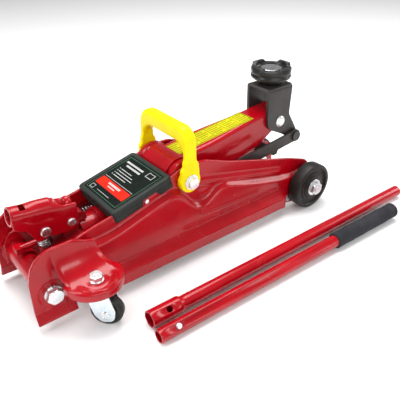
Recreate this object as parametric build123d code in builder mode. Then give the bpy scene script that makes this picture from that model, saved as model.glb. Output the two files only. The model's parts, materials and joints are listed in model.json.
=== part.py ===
from build123d import *

import os
from math import cos, radians, sin

# Trolley jack with a two-piece pump handle lying beside it. Millimetres, +Z up.
# Row origin: on the floor, at the middle of the whole set's length and width.
# Profiles are drawn from the point on the floor below the front axle, in the
# jack's middle plane; +X runs forwards to the saddle and +Y to the left.

os.makedirs("parts", exist_ok=True)

datum_x = 143.965
datum_y = 32.245
side = Plane((datum_x, datum_y, 0), x_dir=(1, 0, 0), z_dir=(0, -1, 0))
floor = Plane((datum_x, datum_y, 0))
cross = Plane((datum_x, datum_y, 0), x_dir=(0, 1, 0), z_dir=(1, 0, 0))
hands = {"right": 1, "left": -1}

# Running fit between a pin and its bore, on the radius
running = 0.05
# Gap between pieces of one body that sit in or on each other, on the radius
seated = 0.02

# Side plates: pressed sheet, a narrow upper part and a wider lower pan
sheet = 3.0
upper_y = 38.0
pan_y = 46.0
pan_slope = 40
flange_y = 56.0
flange_top = 26.0
flange_bottom = 12.0
flange_rear = -318.0
flange_front = -37.0
plate_front_r = 27.0
axle_height = 33.0

# Lift arm: pivot, front rivet and the parallel levelling link
pivot = (-204.0, 106.0)
arm_angle = 6.75
arm_length = 173.7
arm_top = 19.0
arm_sheet = 3.5
head_radius = 22.5
head_half_width = 34.4
nose_radius = 12.0
rivet_point = (-31.5, 126.4)
link_drop = (28.0, -27.0)
link_rear = (pivot[0] + link_drop[0], pivot[1] + link_drop[1])
link_front = (rivet_point[0] + link_drop[0], rivet_point[1] + link_drop[1])
shaft_radius = 7.0
bush_radius = 10.0
shaft_half = 47.2

# Lever below the pivot with the roller that the ram pushes
lever_radius = 42.0
lever_angle = 12.5
roller_radius = 7.0
roller = (
    pivot[0] - lever_radius * sin(radians(lever_angle)),
    pivot[1] - lever_radius * cos(radians(lever_angle)),
)

# Hydraulic unit, on one axis along X
ram_height = 66.0
ram_gap = 0.3
ram_face = roller[0] - roller_radius - ram_gap
ram_radius = 9.0
cylinder_inner = 12.0
cylinder_outer = 15.0
ram_rear = -310.0
ram_head_thick = 6.0
ram_head_half = 8.0
ram_pin_radius = 2.8
ram_pin_half = 34.7
block_front = -335.0
tank_inner = 18.5
tank_outer = 21.0
tank_rear = -331.0
tank_step = -309.0
tank_wall = 3.0
neck_radius = 17.5
tank_front = -250.0
cylinder_front = -243.0
tank_collar = 4.0
tank_hexagon = 3.0
spring_y = 33.5
spring_outer = 6.6
spring_inner = 5.0
spring_rear = -334.8
spring_front = -256.0
spring_wire = 0.8
filler_x = -280.0
valve_point = (15, 62)

# Pump: socket pivot, roller pin and plunger
socket_pivot = (-341.0, 88.8)
pump_pin = (-371.0, 88.5)
pump_roller = 5.5
plunger_radius = 5.0
boss_top = 66.0
boss_bottom = 49.4
plunger_bottom = 61.4
plunger_top = pump_pin[1] - pump_roller - 0.06
collar_thick = 2.6

# Handle socket: a tube on a slanted axis with two cheeks below it
socket_angle = 7.5
socket_bore = 8.5
socket_outer = 10.5
socket_mouth = (-403.0, 115.0)
socket_length = 71.0
slot_rear = 10.5
slot_width = 6.0
slot_half = 7.0
tube_length = 48.0

# Carry handle, cover and the arm's front end
handle_inner = 41.0
handle_outer = 47.0
cover_rear = (-307.0, 99.3)
cover_tilt = 14.2
cover_length = 82.0
cover_half = 40.6
cover_skirt = 15.0
cover_wall = 2.5
cover_recess = 0.8
cover_border = 6.0
screw_point = (-261.0, 97.0)
yoke_inner = 16.5
yoke_outer = 20.5
yoke_top = 176.0
link_inner = 23.0
link_outer = 26.0
link_half_height = 8.0
link_open_bore = 5.6
saddle_x = -35.0
saddle_floor = 194.0
saddle_rim = 197.5
lobe_rise = 3.0
lobe_root = 2.0

# Rear end and casters
rear_axis = (-389.0, 41.0)
rear_tube_radius = 13.5
bracket_sheet = 3.5
bracket_y = pan_y + bracket_sheet
bracket_rear = -411.0
ear_top = 57.0
ear_centre = (-350.0, 66.0)
ear_radius = 33.0
sweep_radius = 20.0
stud_x = -351.0
stud_y = 77.5
stud_radius = 4.0
caster_trail = 8.0
caster_radius = 18.0
caster_width = 14.0
caster_turn = -46.0
fork_top = 49.6

# Front wheels
wheel_radius = 33.0
tie_rod_point = (-30, 17)
wheel_inner_y = 48.3
wheel_outer_y = 66.0
stub_radius = 6.0

# Handle rods
rod_radius = 8.0
rod_bore = 6.5
rod_socket_radius = 8.25
swage_radius = 10.0
swage_length = 40.0
lower_length = 439.0
lower_turn = radians(-0.8)
upper_length = 389.0
upper_turn = radians(-1.75)
grip_radius = 10.5
grip_start = 268.0
button_radius = 3.4
button_from_end = 22.0


def disc(plane, start, length, radius, centre=(0, 0), mode=Mode.ADD):
    """A round bar that starts at an offset from a plane."""
    with BuildSketch(plane.offset(start)) as profile:
        with Locations(centre):
            Circle(radius)
    extrude(profile.sketch, amount=length, mode=mode)


def ring(plane, start, length, outer, inner, centre=(0, 0)):
    """A round sleeve that starts at an offset from a plane."""
    with BuildSketch(plane.offset(start)) as profile:
        with Locations(centre):
            Circle(outer)
            Circle(inner, mode=Mode.SUBTRACT)
    extrude(profile.sketch, amount=length)


def hexagon(plane, start, length, across_flats, centre=(0, 0)):
    """A hexagon head or nut that starts at an offset from a plane."""
    with BuildSketch(plane.offset(start)) as profile:
        with Locations(centre):
            RegularPolygon(across_flats / 2, 6, major_radius=False)
    extrude(profile.sketch, amount=length)


def slab(plane, start, length, points, mode=Mode.ADD):
    """A flat piece with a straight-sided outline."""
    with BuildSketch(plane.offset(start)) as profile:
        Polygon(*points, align=None)
    extrude(profile.sketch, amount=length, mode=mode)


# The side plate's outline, anticlockwise from its lower rear corner
plate_outline = [
    (-404, flange_bottom),
    (0, axle_height - plate_front_r),
    (plate_front_r, axle_height),
    (12, 62),
    (-24, 75),
    (-102, 97),
    (-136, 107),
    (-176, 122),
    (-207, 124),
    (-228, 115),
    (-308, 95),
    (-334, 90),
    (-368, 80),
    (-404, 68),
]

# The wide lower pan, at the foot of its sloping shoulder
pan_outline = [
    (-430, -20),
    (60, -20),
    (60, 66),
    (-20, 72),
    (-94, 72),
    (-148, 90),
    (-160, 90),
    (-178, 70),
    (-192, 66),
    (-228, 97),
    (-250, 93),
    (-305, 77),
    (-360, 72),
    (-430, 72),
]

# ---------------------------------------------------------------- side plates
for name, hand in hands.items():
    with BuildPart() as side_plate:
        with BuildSketch(side.offset(hand * (upper_y - sheet))):
            Polygon(*plate_outline, align=None)
        extrude(amount=hand * sheet)
        with BuildSketch(side.offset(hand * upper_y)):
            Polygon(*pan_outline, align=None)
        extrude(amount=hand * (pan_y - upper_y), taper=pan_slope)
        with BuildSketch(side.offset(hand * (upper_y - sheet))):
            Polygon(*pan_outline, align=None)
        extrude(amount=hand * (pan_y - upper_y), taper=pan_slope, mode=Mode.SUBTRACT)
        with BuildSketch(side.offset(hand * (upper_y - sheet))):
            Polygon(*plate_outline, align=None)
        extrude(amount=hand * (pan_y - upper_y + sheet), mode=Mode.INTERSECT)
        # bottom flange, turned outwards and then down
        slab(
            cross,
            flange_rear,
            flange_front - flange_rear,
            [
                (-hand * (pan_y - 1), flange_top),
                (-hand * flange_y, flange_top),
                (-hand * flange_y, flange_bottom),
                (-hand * (flange_y - sheet), flange_bottom),
                (-hand * (flange_y - sheet), flange_top - sheet),
                (-hand * (pan_y - 1), flange_top - sheet),
            ],
        )
        thickness = hand * 2 * pan_y
        disc(side, 0, thickness, stub_radius + seated, (0, axle_height), Mode.SUBTRACT)
        disc(side, 0, thickness, shaft_radius + seated, pivot, Mode.SUBTRACT)
        disc(side, 0, thickness, 5 + seated, link_rear, Mode.SUBTRACT)
        disc(side, 0, thickness, 5 + seated, rear_axis, Mode.SUBTRACT)
        disc(side, 0, thickness, 5 + seated, tie_rod_point, Mode.SUBTRACT)
    side_plate.part.label = f"side_plate_{name}"
    export_step(side_plate.part, f"parts/side_plate_{name}.step")

# ------------------------------------------------------------ caster brackets
for name, hand in hands.items():
    with BuildPart() as caster_bracket:
        # sheet that sweeps from the upright web out to the level ear
        with BuildSketch(cross.offset(-384)):
            with BuildLine():
                outer = (-hand * bracket_y, ear_top + sweep_radius)
                foot = (-hand * (bracket_y + sweep_radius), ear_top)
                Line((-hand * pan_y, 96), (-hand * bracket_y, 96))
                Line((-hand * bracket_y, 96), outer)
                RadiusArc(outer, foot, hand * sweep_radius)
                Line(foot, (-hand * 100, ear_top))
                Line((-hand * 100, ear_top), (-hand * 100, ear_top - bracket_sheet))
                under = (-hand * (bracket_y + sweep_radius), ear_top - bracket_sheet)
                Line((-hand * 100, ear_top - bracket_sheet), under)
                inner = (-hand * pan_y, ear_top + sweep_radius)
                RadiusArc(under, inner, -hand * (sweep_radius + bracket_sheet))
                Line(inner, (-hand * pan_y, 96))
            make_face()
        extrude(amount=74)
        # the ear's round outer end
        with BuildSketch(floor):
            with Locations((ear_centre[0], -hand * ear_centre[1])):
                Circle(ear_radius)
            with BuildLine():
                Polyline(
                    (ear_centre[0] - ear_radius, -hand * 40),
                    (ear_centre[0] + ear_radius, -hand * 40),
                    (ear_centre[0] + ear_radius, -hand * ear_centre[1]),
                    (ear_centre[0] - ear_radius, -hand * ear_centre[1]),
                    close=True,
                )
            make_face()
        extrude(amount=100, mode=Mode.INTERSECT)
        # front edge, sloping from the top of the web down to the ear
        slab(
            side,
            0,
            hand * 60,
            [(-346, 100), (-300, 100), (-300, 54), (-316, 54), (-320, 62)],
            Mode.SUBTRACT,
        )
        # down-turned rim round the outer end
        with BuildSketch(floor.offset(ear_top - 10)):
            with Locations((ear_centre[0], -hand * ear_centre[1])):
                Circle(ear_radius)
                Circle(ear_radius - 3, mode=Mode.SUBTRACT)
            with Locations((ear_centre[0], 0)):
                Rectangle(80, 2 * (ear_centre[1] + 4), mode=Mode.SUBTRACT)
        extrude(amount=9)
        # upright web with its rounded rear corner and turned-out foot
        slab(
            side,
            hand * pan_y,
            hand * bracket_sheet,
            [
                (-409, 26),
                (bracket_rear, 62),
                (-406, 80),
                (-394, 91),
                (-378, 94),
                (-376, 94),
                (-376, 26),
            ],
        )
        slab(
            cross,
            -409,
            42,
            [
                (-hand * pan_y, 26),
                (-hand * bracket_y, 26),
                (-hand * (bracket_y + 4), 9),
                (-hand * (pan_y + 4), 9),
            ],
        )
        disc(
            side,
            hand * 40,
            hand * 20,
            5 + seated,
            rear_axis,
            Mode.SUBTRACT,
        )
        disc(
            floor,
            40,
            30,
            stud_radius + seated,
            (stud_x, -hand * stud_y),
            Mode.SUBTRACT,
        )
    caster_bracket.part.label = f"caster_bracket_{name}"
    export_step(caster_bracket.part, f"parts/caster_bracket_{name}.step")

# ------------------------------------------------------------ rear cross tube
rear_half = pan_y - sheet
with BuildPart() as rear_cross_tube:
    ring(side, -rear_half, 2 * rear_half, rear_tube_radius, 5 + running, rear_axis)
rear_cross_tube.part.label = "rear_cross_tube"
export_step(rear_cross_tube.part, "parts/rear_cross_tube.step")

with BuildPart() as rear_tie_bolts:
    for hand in hands.values():
        disc(side, hand * 12, hand * (bracket_y + 3 - 12), 5, rear_axis)
        hexagon(side, hand * (bracket_y + 3), hand * 7, 17, rear_axis)
        disc(side, hand * (bracket_y + 10), hand * 1, 7, rear_axis)
rear_tie_bolts.part.label = "rear_tie_bolts"
export_step(rear_tie_bolts.part, "parts/rear_tie_bolts.step")

with BuildPart() as rear_spring_washers:
    for hand in hands.values():
        ring(side, hand * bracket_y, hand * 3, 10, 5 + running, rear_axis)
rear_spring_washers.part.label = "rear_spring_washers"
export_step(rear_spring_washers.part, "parts/rear_spring_washers.step")

# ------------------------------------------------------- front axle and wheels
axle = (0, axle_height)
with BuildPart() as front_axle_bolts:
    for hand in hands.values():
        hexagon(side, hand * 37.5, hand * 5.5, 17, axle)
        disc(side, hand * 43, hand * (wheel_outer_y + 9.5 - 43), stub_radius, axle)
front_axle_bolts.part.label = "front_axle_bolts"
export_step(front_axle_bolts.part, "parts/front_axle_bolts.step")

with BuildPart() as axle_washers:
    for hand in hands.values():
        ring(side, hand * (wheel_outer_y + 0.3), hand * 1.6, 12, 6 + running, axle)
axle_washers.part.label = "axle_washers"
export_step(axle_washers.part, "parts/axle_washers.step")

with BuildPart() as axle_nuts:
    for hand in hands.values():
        hexagon(side, hand * (wheel_outer_y + 1.9), hand * 6, 17, axle)
        disc(side, 0, hand * 80, stub_radius + seated, axle, Mode.SUBTRACT)
axle_nuts.part.label = "axle_nuts"
export_step(axle_nuts.part, "parts/axle_nuts.step")

for name, hand in hands.items():
    with BuildPart() as front_wheel:
        disc(side, hand * wheel_inner_y, hand * (wheel_outer_y - wheel_inner_y), wheel_radius, axle)
        fillet(front_wheel.edges().filter_by(GeomType.CIRCLE), 2)
        with BuildSketch(side.offset(hand * (wheel_outer_y - 2))):
            with Locations(axle):
                Circle(27)
                Circle(15, mode=Mode.SUBTRACT)
        extrude(amount=hand * 3, mode=Mode.SUBTRACT)
        disc(side, hand * 40, hand * 40, stub_radius + running, axle, Mode.SUBTRACT)
    front_wheel.part.label = f"front_wheel_{name}"
    export_step(front_wheel.part, f"parts/front_wheel_{name}.step")

with BuildPart() as front_tie_rod:
    disc(side, -pan_y - 1.8, 2 * (pan_y + 1.8), 5, tie_rod_point)
    for hand in hands.values():
        hexagon(side, hand * 38, hand * 4.9, 14, tie_rod_point)
front_tie_rod.part.label = "front_tie_rod"
export_step(front_tie_rod.part, "parts/front_tie_rod.step")

# ------------------------------------------------------------ main pivot shaft
with BuildPart() as main_shaft:
    disc(side, -shaft_half, 2 * shaft_half, shaft_radius, pivot)
    for hand in hands.values():
        disc(side, hand * (shaft_half - 16), hand * 16, 4 + running, pivot, Mode.SUBTRACT)
main_shaft.part.label = "main_shaft"
export_step(main_shaft.part, "parts/main_shaft.step")

with BuildPart() as pivot_washers:
    for hand in hands.values():
        ring(side, hand * shaft_half, hand * 1.5, 10.5, 4 + running, pivot)
pivot_washers.part.label = "pivot_washers"
export_step(pivot_washers.part, "parts/pivot_washers.step")

with BuildPart() as pivot_bolts:
    for hand in hands.values():
        disc(side, hand * (shaft_half - 15), hand * 16.5, 4, pivot)
        hexagon(side, hand * (shaft_half + 1.5), hand * 5, 13, pivot)
pivot_bolts.part.label = "pivot_bolts"
export_step(pivot_bolts.part, "parts/pivot_bolts.step")

# --------------------------------------------------------- link's rear pivots
with BuildPart() as link_pivot_bolts:
    for hand in hands.values():
        disc(side, hand * 22.9, hand * (upper_y - 22.9), 5, link_rear)
        disc(side, hand * 26.5, hand * (upper_y - sheet - 26.5), 7, link_rear)
link_pivot_bolts.part.label = "link_pivot_bolts"
export_step(link_pivot_bolts.part, "parts/link_pivot_bolts.step")

# ---------------------------------------------------------------- carry handle
with BuildPart() as carry_handle:
    leg = [
        (pivot[0] - 13, pivot[1]),
        (pivot[0] - 11, 137),
        (pivot[0] - 8, 141),
        (pivot[0] - 7, 172),
        (pivot[0] + 9, 172),
        (pivot[0] + 9, 141),
        (pivot[0] + 12, 137),
        (pivot[0] + 13, pivot[1]),
    ]
    for hand in hands.values():
        slab(side, hand * handle_inner, hand * (handle_outer - handle_inner), leg)
        disc(side, hand * 38.3, hand * (handle_outer - 38.3), 14, pivot)
    bar_outline = leg[3:5] + [(leg[4][0], 154), (leg[3][0], 154)]
    slab(side, -handle_outer, 2 * handle_outer, bar_outline)
    # rounded shoulders where the legs meet the grip bar
    for hand in hands.values():
        slab(
            cross,
            pivot[0] - 10,
            24,
            [(-hand * 48, 175), (-hand * 48, 158), (-hand * 43, 167), (-hand * 32, 173), (-hand * 30, 175)],
            Mode.SUBTRACT,
        )
        slab(
            cross,
            pivot[0] - 7,
            16,
            [(-hand * 42, 155), (-hand * 42, 143), (-hand * 34, 155)],
        )
    disc(side, -60, 120, shaft_radius + running, pivot, Mode.SUBTRACT)
carry_handle.part.label = "carry_handle"
export_step(carry_handle.part, "parts/carry_handle.step")

# ------------------------------------------------------------------ cover tray
cover_top = Plane(
    (datum_x + cover_rear[0], datum_y, cover_rear[1]),
    x_dir=(cos(radians(cover_tilt)), 0, sin(radians(cover_tilt))),
    z_dir=(-sin(radians(cover_tilt)), 0, cos(radians(cover_tilt))),
)
with BuildPart() as cover_tray:
    with BuildSketch(cover_top.offset(-cover_skirt)):
        with Locations((cover_length / 2, 0)):
            RectangleRounded(cover_length, 2 * cover_half, 5)
    extrude(amount=cover_skirt)
    # grooves over the side plates' top edges
    for hand in hands.values():
        with BuildSketch(cover_top.offset(-cover_skirt - 1)):
            with Locations((cover_length / 2, hand * (upper_y - sheet / 2))):
                Rectangle(cover_length + 5, sheet + 0.6)
        extrude(amount=cover_skirt + 1 - cover_wall, mode=Mode.SUBTRACT)
    # room for the side plates and the arm's head below the top wall
    with BuildSketch(cover_top.offset(-cover_skirt - 1)):
        with Locations((cover_length / 2, 0)):
            Rectangle(cover_length - 5, 2 * (upper_y + 0.2))
    extrude(amount=cover_skirt + 1 - cover_wall, mode=Mode.SUBTRACT)
    with BuildSketch(cover_top.offset(-cover_skirt - 1)):
        with Locations((cover_length / 2, 0)):
            Rectangle(cover_length + 5, 2 * (upper_y + 0.2))
    extrude(amount=9, mode=Mode.SUBTRACT)
    # recess that holds the label, inside a raised border
    with BuildSketch(cover_top.offset(-cover_recess)):
        with Locations((cover_length / 2, 0)):
            RectangleRounded(cover_length - 2 * cover_border, 2 * (cover_half - cover_border), 3)
    extrude(amount=2, mode=Mode.SUBTRACT)
    # notch in each skirt that bares the fixing screw
    for hand in hands.values():
        slab(
            Plane(cover_top.origin, x_dir=cover_top.x_dir, z_dir=(0, -1, 0)),
            hand * 38,
            hand * 4,
            [(36, -16), (40, -7.5), (58, -7.5), (62, -16)],
            Mode.SUBTRACT,
        )
cover_tray.part.label = "cover_tray"
export_step(cover_tray.part, "parts/cover_tray.step")

with BuildPart() as cover_screws:
    for hand in hands.values():
        disc(side, hand * upper_y, hand * 2.4, 3.2, screw_point)
cover_screws.part.label = "cover_screws"
export_step(cover_screws.part, "parts/cover_screws.step")

# -------------------------------------------------------------- hydraulic unit
ram_centre = (0, ram_height)
with BuildPart() as pump_block:
    slab(
        side,
        -28,
        56,
        [(-366, 46), (-366, 68), (-352, 71), (block_front, 75), (block_front, 36), (-360, 36)],
    )
    # upright lug that carries the handle socket
    lug_half = 8.2
    slab(
        side,
        -lug_half,
        2 * lug_half,
        [(-351, 65), (-351, 94), (-347, 97), (-336, 97), (-327, 95), (-322, 90), (-322, 84.6), (-332, 84.6)],
    )
    slab(side, -lug_half, 2 * lug_half, [(-351, 65), (-332, 65), (-332, 86), (-351, 86)])
    slab(side, -20, 40, [(-337, 75), (block_front + 4, 75), (block_front + 4, 44), (-337, 44)])
    # pump boss, with a seat for the spring on top
    disc(floor, boss_bottom, boss_top - boss_bottom, 7, (pump_pin[0], 0))
    slab(floor, boss_bottom, boss_top - boss_bottom, [(-372, -7), (-360, -7), (-360, 7), (-372, 7)])
    disc(floor, boss_bottom + 1, 60, plunger_radius + running, (pump_pin[0], 0), Mode.SUBTRACT)
    disc(floor, boss_top, 60, 9.6, (pump_pin[0], 0), Mode.SUBTRACT)
    disc(side, -40, 80, 4 + running, socket_pivot, Mode.SUBTRACT)
    disc(cross, -370, 24, 4 + running, valve_point, Mode.SUBTRACT)
    # ears that carry the rear ends of the return springs
    for hand in hands.values():
        slab(
            side,
            hand * 27.5,
            hand * 12.5,
            [(-346, 57), (-346, 69), (block_front, 69), (block_front, 57)],
        )
pump_block.part.label = "pump_block"
export_step(pump_block.part, "parts/pump_block.step")

with BuildPart() as cylinder_tube:
    ring(cross, tank_rear, cylinder_front - tank_rear, cylinder_outer, cylinder_inner, ram_centre)
cylinder_tube.part.label = "cylinder_tube"
export_step(cylinder_tube.part, "parts/cylinder_tube.step")

with BuildPart() as reservoir_tank:
    ring(cross, tank_step, tank_front - tank_step, tank_outer, tank_inner, ram_centre)
    # stepped rear end that closes on the cylinder
    ring(cross, tank_step, tank_wall, tank_outer, cylinder_outer + seated, ram_centre)
    ring(cross, tank_rear, tank_step - tank_rear, neck_radius, cylinder_outer + seated, ram_centre)
    disc(floor, 84, 10, 4 + seated, (filler_x, 0), Mode.SUBTRACT)
reservoir_tank.part.label = "reservoir_tank"
export_step(reservoir_tank.part, "parts/reservoir_tank.step")

with BuildPart() as tank_nut:
    disc(cross, tank_front, tank_collar, tank_outer, ram_centre)
    hexagon(cross, tank_front + tank_collar, tank_hexagon, 36, ram_centre)
    disc(cross, tank_front, -6, tank_inner - seated, ram_centre)
    disc(cross, tank_front - 10, 20, cylinder_outer + seated, ram_centre, Mode.SUBTRACT)
tank_nut.part.label = "tank_nut"
export_step(tank_nut.part, "parts/tank_nut.step")

with BuildPart() as tank_seals:
    ring(cross, tank_step + tank_wall + 0.1, 2.4, tank_inner - 0.1, cylinder_outer + 0.1, ram_centre)
    ring(cross, tank_front - 8.6, 2.4, tank_inner - 0.1, cylinder_outer + 0.1, ram_centre)
tank_seals.part.label = "tank_seals"
export_step(tank_seals.part, "parts/tank_seals.step")

with BuildPart() as filler_plug:
    disc(floor, 85, 6, 4, (filler_x, 0))
    disc(floor, ram_height + tank_outer, 3, 6, (filler_x, 0))
filler_plug.part.label = "filler_plug"
export_step(filler_plug.part, "parts/filler_plug.step")

# --------------------------------------------------------------------- the ram
with BuildPart() as ram_piston:
    disc(cross, ram_rear, ram_face - ram_head_thick - ram_rear, ram_radius, ram_centre)
    disc(cross, ram_rear, 8, cylinder_inner - running, ram_centre)
ram_piston.part.label = "ram_piston"
export_step(ram_piston.part, "parts/ram_piston.step")

with BuildPart() as ram_seal:
    ring(cross, ram_rear + 8.1, 3.5, cylinder_inner - running, ram_radius + seated, ram_centre)
ram_seal.part.label = "ram_seal"
export_step(ram_seal.part, "parts/ram_seal.step")

ram_pin = (ram_face - ram_head_thick / 2, ram_height)
with BuildPart() as ram_head:
    slab(
        side,
        -ram_head_half,
        2 * ram_head_half,
        [
            (ram_face - ram_head_thick, ram_height - 10),
            (ram_face, ram_height - 10),
            (ram_face, ram_height + 14),
            (ram_face - ram_head_thick, ram_height + 14),
        ],
    )
    # cross pin that pulls on the front ends of the return springs
    disc(side, -ram_pin_half, 2 * ram_pin_half, ram_pin_radius, ram_pin)
ram_head.part.label = "ram_head"
export_step(ram_head.part, "parts/ram_head.step")

# Return springs: a plain sleeve for the coils and a straight hook wire at the front
with BuildPart() as return_springs:
    for hand in hands.values():
        spring_centre = (-hand * spring_y, ram_height)
        ring(cross, spring_rear, spring_front - spring_rear, spring_outer, spring_inner, spring_centre)
        hook = (-hand * spring_y, ram_height + spring_inner + spring_wire)
        hook_end = ram_pin[0] - ram_pin_radius - 1
        disc(cross, spring_front - 1, hook_end - spring_front + 1, spring_wire, hook)
return_springs.part.label = "return_springs"
export_step(return_springs.part, "parts/return_springs.step")

# -------------------------------------------------------------------- lift arm
arm_x = (cos(radians(arm_angle)), 0, sin(radians(arm_angle)))
arm_up = (-sin(radians(arm_angle)), 0, cos(radians(arm_angle)))
arm_origin = (datum_x + pivot[0], datum_y, pivot[1])
arm_side = Plane(arm_origin, x_dir=arm_x, z_dir=(0, -1, 0))
arm_plan = Plane(arm_origin, x_dir=arm_x, z_dir=arm_up)


def arm_plan_outline(inset):
    """The arm seen from above, narrowing to its nose."""
    tip = arm_length + nose_radius
    near = [(0, inset - 22.3), (60, inset - 22.3), (136, inset - 16), (tip, inset - 16)]
    far = [(along, -across) for along, across in reversed(near)]
    return near + far


with BuildPart() as lift_arm:
    with BuildSketch(arm_plan.offset(-34)):
        Polygon(*arm_plan_outline(0), align=None)
    extrude(amount=34 + arm_top)
    with BuildSketch(arm_plan.offset(-35)):
        Polygon(*arm_plan_outline(arm_sheet), align=None)
    extrude(amount=35 + arm_top - arm_sheet, mode=Mode.SUBTRACT)
    with BuildSketch(arm_side.offset(-30)):
        with BuildLine():
            Polyline(
                (0, arm_top),
                (arm_length + 4, arm_top),
                (arm_length + nose_radius, 8),
                (arm_length + nose_radius, -4),
                (arm_length + 6, -10),
                (arm_length - 12, -11),
                (arm_length - 38, -24),
                (60, -30),
                (24, -33),
                (10, -26),
                (0, -22),
                close=True,
            )
        make_face()
    extrude(amount=60, mode=Mode.INTERSECT)
    # drum-shaped head on the pivot, open inside between two end walls
    disc(arm_side, -head_half_width, 2 * head_half_width, head_radius)
    bore_half = head_half_width + 1
    disc(arm_side, -bore_half, 2 * bore_half, bush_radius + seated, (0, 0), Mode.SUBTRACT)
    # nose boss round the front rivet
    disc(arm_side, -16, 32, 9, (arm_length, 0))
    disc(arm_side, -20, 40, 5.5 + running, (arm_length, 0), Mode.SUBTRACT)
    # pair of lever plates that carry the roller
    for hand in hands.values():
        slab(
            side,
            hand * 8.5,
            hand * 5,
            [
                (pivot[0] - 16, pivot[1] - 14),
                (roller[0] - 4.5, roller[1] + 2),
                (roller[0] - 3.5, roller[1] - 4.5),
                (roller[0] + 4.5, roller[1] - 4.5),
                (pivot[0] + 18, pivot[1] - 12),
            ],
        )
    disc(side, -14, 28, 3.5 + seated, roller, Mode.SUBTRACT)
lift_arm.part.label = "lift_arm"
export_step(lift_arm.part, "parts/lift_arm.step")

with BuildPart() as arm_bushes:
    for hand in hands.values():
        ring(side, hand * 6, hand * (head_half_width - 6), bush_radius, shaft_radius + running, pivot)
arm_bushes.part.label = "arm_bushes"
export_step(arm_bushes.part, "parts/arm_bushes.step")

with BuildPart() as lever_pin:
    disc(side, -13.5, 27, 3.5, roller)
lever_pin.part.label = "lever_pin"
export_step(lever_pin.part, "parts/lever_pin.step")

with BuildPart() as lever_roller:
    ring(side, -8.2, 16.4, roller_radius, 3.5 + running, roller)
lever_roller.part.label = "lever_roller"
export_step(lever_roller.part, "parts/lever_roller.step")

# ----------------------------------------------------------- yoke and its pins
with BuildPart() as saddle_yoke:
    cheek = [
        (-57, yoke_top),
        (-13, yoke_top),
        (-15, 134),
        (link_front[0] + 7, link_front[1] + 6),
        (link_front[0] + 7, link_front[1] - 5),
        (link_front[0] + 1, link_front[1] - 8.5),
        (-20, 103),
        (-36, 112),
        (-49, 118),
        (-55, 126),
    ]
    slab(side, -yoke_outer, 2 * yoke_outer, cheek)
    slab(
        side,
        -yoke_inner,
        2 * yoke_inner,
        [(-90, yoke_top - 5), (20, yoke_top - 5), (20, 70), (-90, 70)],
        Mode.SUBTRACT,
    )
    disc(side, -30, 60, 5.5 + seated, rivet_point, Mode.SUBTRACT)
    disc(side, -30, 60, 5 + seated, link_front, Mode.SUBTRACT)
    disc(floor, yoke_top - 6, 10, 8 + seated, (-35, 0), Mode.SUBTRACT)
saddle_yoke.part.label = "saddle_yoke"
export_step(saddle_yoke.part, "parts/saddle_yoke.step")

with BuildPart() as yoke_rivet:
    disc(side, -yoke_outer, 2 * yoke_outer, 5.5, rivet_point)
    for hand in hands.values():
        disc(side, hand * yoke_outer, hand * 2.2, 8, rivet_point)
yoke_rivet.part.label = "yoke_rivet"
export_step(yoke_rivet.part, "parts/yoke_rivet.step")

with BuildPart() as link_pins:
    for hand in hands.values():
        disc(side, hand * yoke_inner, hand * (26.6 - yoke_inner), 5, link_front)
        disc(side, hand * 26.6, hand * 2, 7, link_front)
link_pins.part.label = "link_pins"
export_step(link_pins.part, "parts/link_pins.step")

# ---------------------------------------------------------------- levelling link
link_plane = Plane((datum_x + link_rear[0], datum_y, link_rear[1]), x_dir=arm_x, z_dir=(0, -1, 0))
link_sheet = link_outer - link_inner
with BuildPart() as link_rod:
    for hand in hands.values():
        for along in (0, arm_length):
            disc(link_plane, hand * link_inner, hand * link_sheet, link_half_height + 1, (along, 0))
        slab(
            link_plane,
            hand * link_inner,
            hand * link_sheet,
            [
                (0, link_half_height),
                (arm_length, link_half_height),
                (arm_length, -link_half_height),
                (0, -link_half_height),
            ],
        )
        # small tab on the lower edge
        slab(
            link_plane,
            hand * link_inner,
            hand * link_sheet,
            [(arm_length - 48, -7), (arm_length - 34, -7), (arm_length - 37, -13), (arm_length - 44, -13)],
        )
    # cross web that joins the two bars
    slab(
        link_plane,
        -link_inner - 1,
        2 * link_inner + 2,
        [(116, -3.5), (134, -3.5), (134, -7.5), (116, -7.5)],
    )
    disc(link_plane, -40, 80, 5 + running, (0, 0), Mode.SUBTRACT)
    disc(link_plane, -40, 80, link_open_bore, (arm_length, 0), Mode.SUBTRACT)
link_rod.part.label = "link_rod"
export_step(link_rod.part, "parts/link_rod.step")

# ---------------------------------------------------------------------- saddle
with BuildPart() as saddle_cup:
    with BuildSketch(Plane((datum_x + saddle_x, datum_y, 0), x_dir=(1, 0, 0), z_dir=(0, -1, 0))):
        with BuildLine():
            Polyline(
                (0, yoke_top + 0.3),
                (15, yoke_top + 0.3),
                (17, 179),
                (25, 184),
                (26.5, 188),
                (25.5, 190),
                (27.5, 192),
                (27.5, saddle_rim),
                (20.5, saddle_rim),
                (19.5, saddle_floor),
                (0, saddle_floor),
                close=True,
            )
        make_face()
    revolve(axis=Axis((datum_x + saddle_x, datum_y, 0), (0, 0, 1)))
    # four raised lobes round the rim
    with BuildSketch(floor.offset(saddle_rim - lobe_root)):
        with Locations((saddle_x, 0)):
            Circle(27)
            Circle(20.8, mode=Mode.SUBTRACT)
            Rectangle(12, 60, rotation=45, mode=Mode.SUBTRACT)
            Rectangle(12, 60, rotation=-45, mode=Mode.SUBTRACT)
    extrude(amount=lobe_root + lobe_rise)
    disc(floor, yoke_top, 30, 8 + running, (saddle_x, 0), Mode.SUBTRACT)
saddle_cup.part.label = "saddle_cup"
export_step(saddle_cup.part, "parts/saddle_cup.step")

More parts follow.
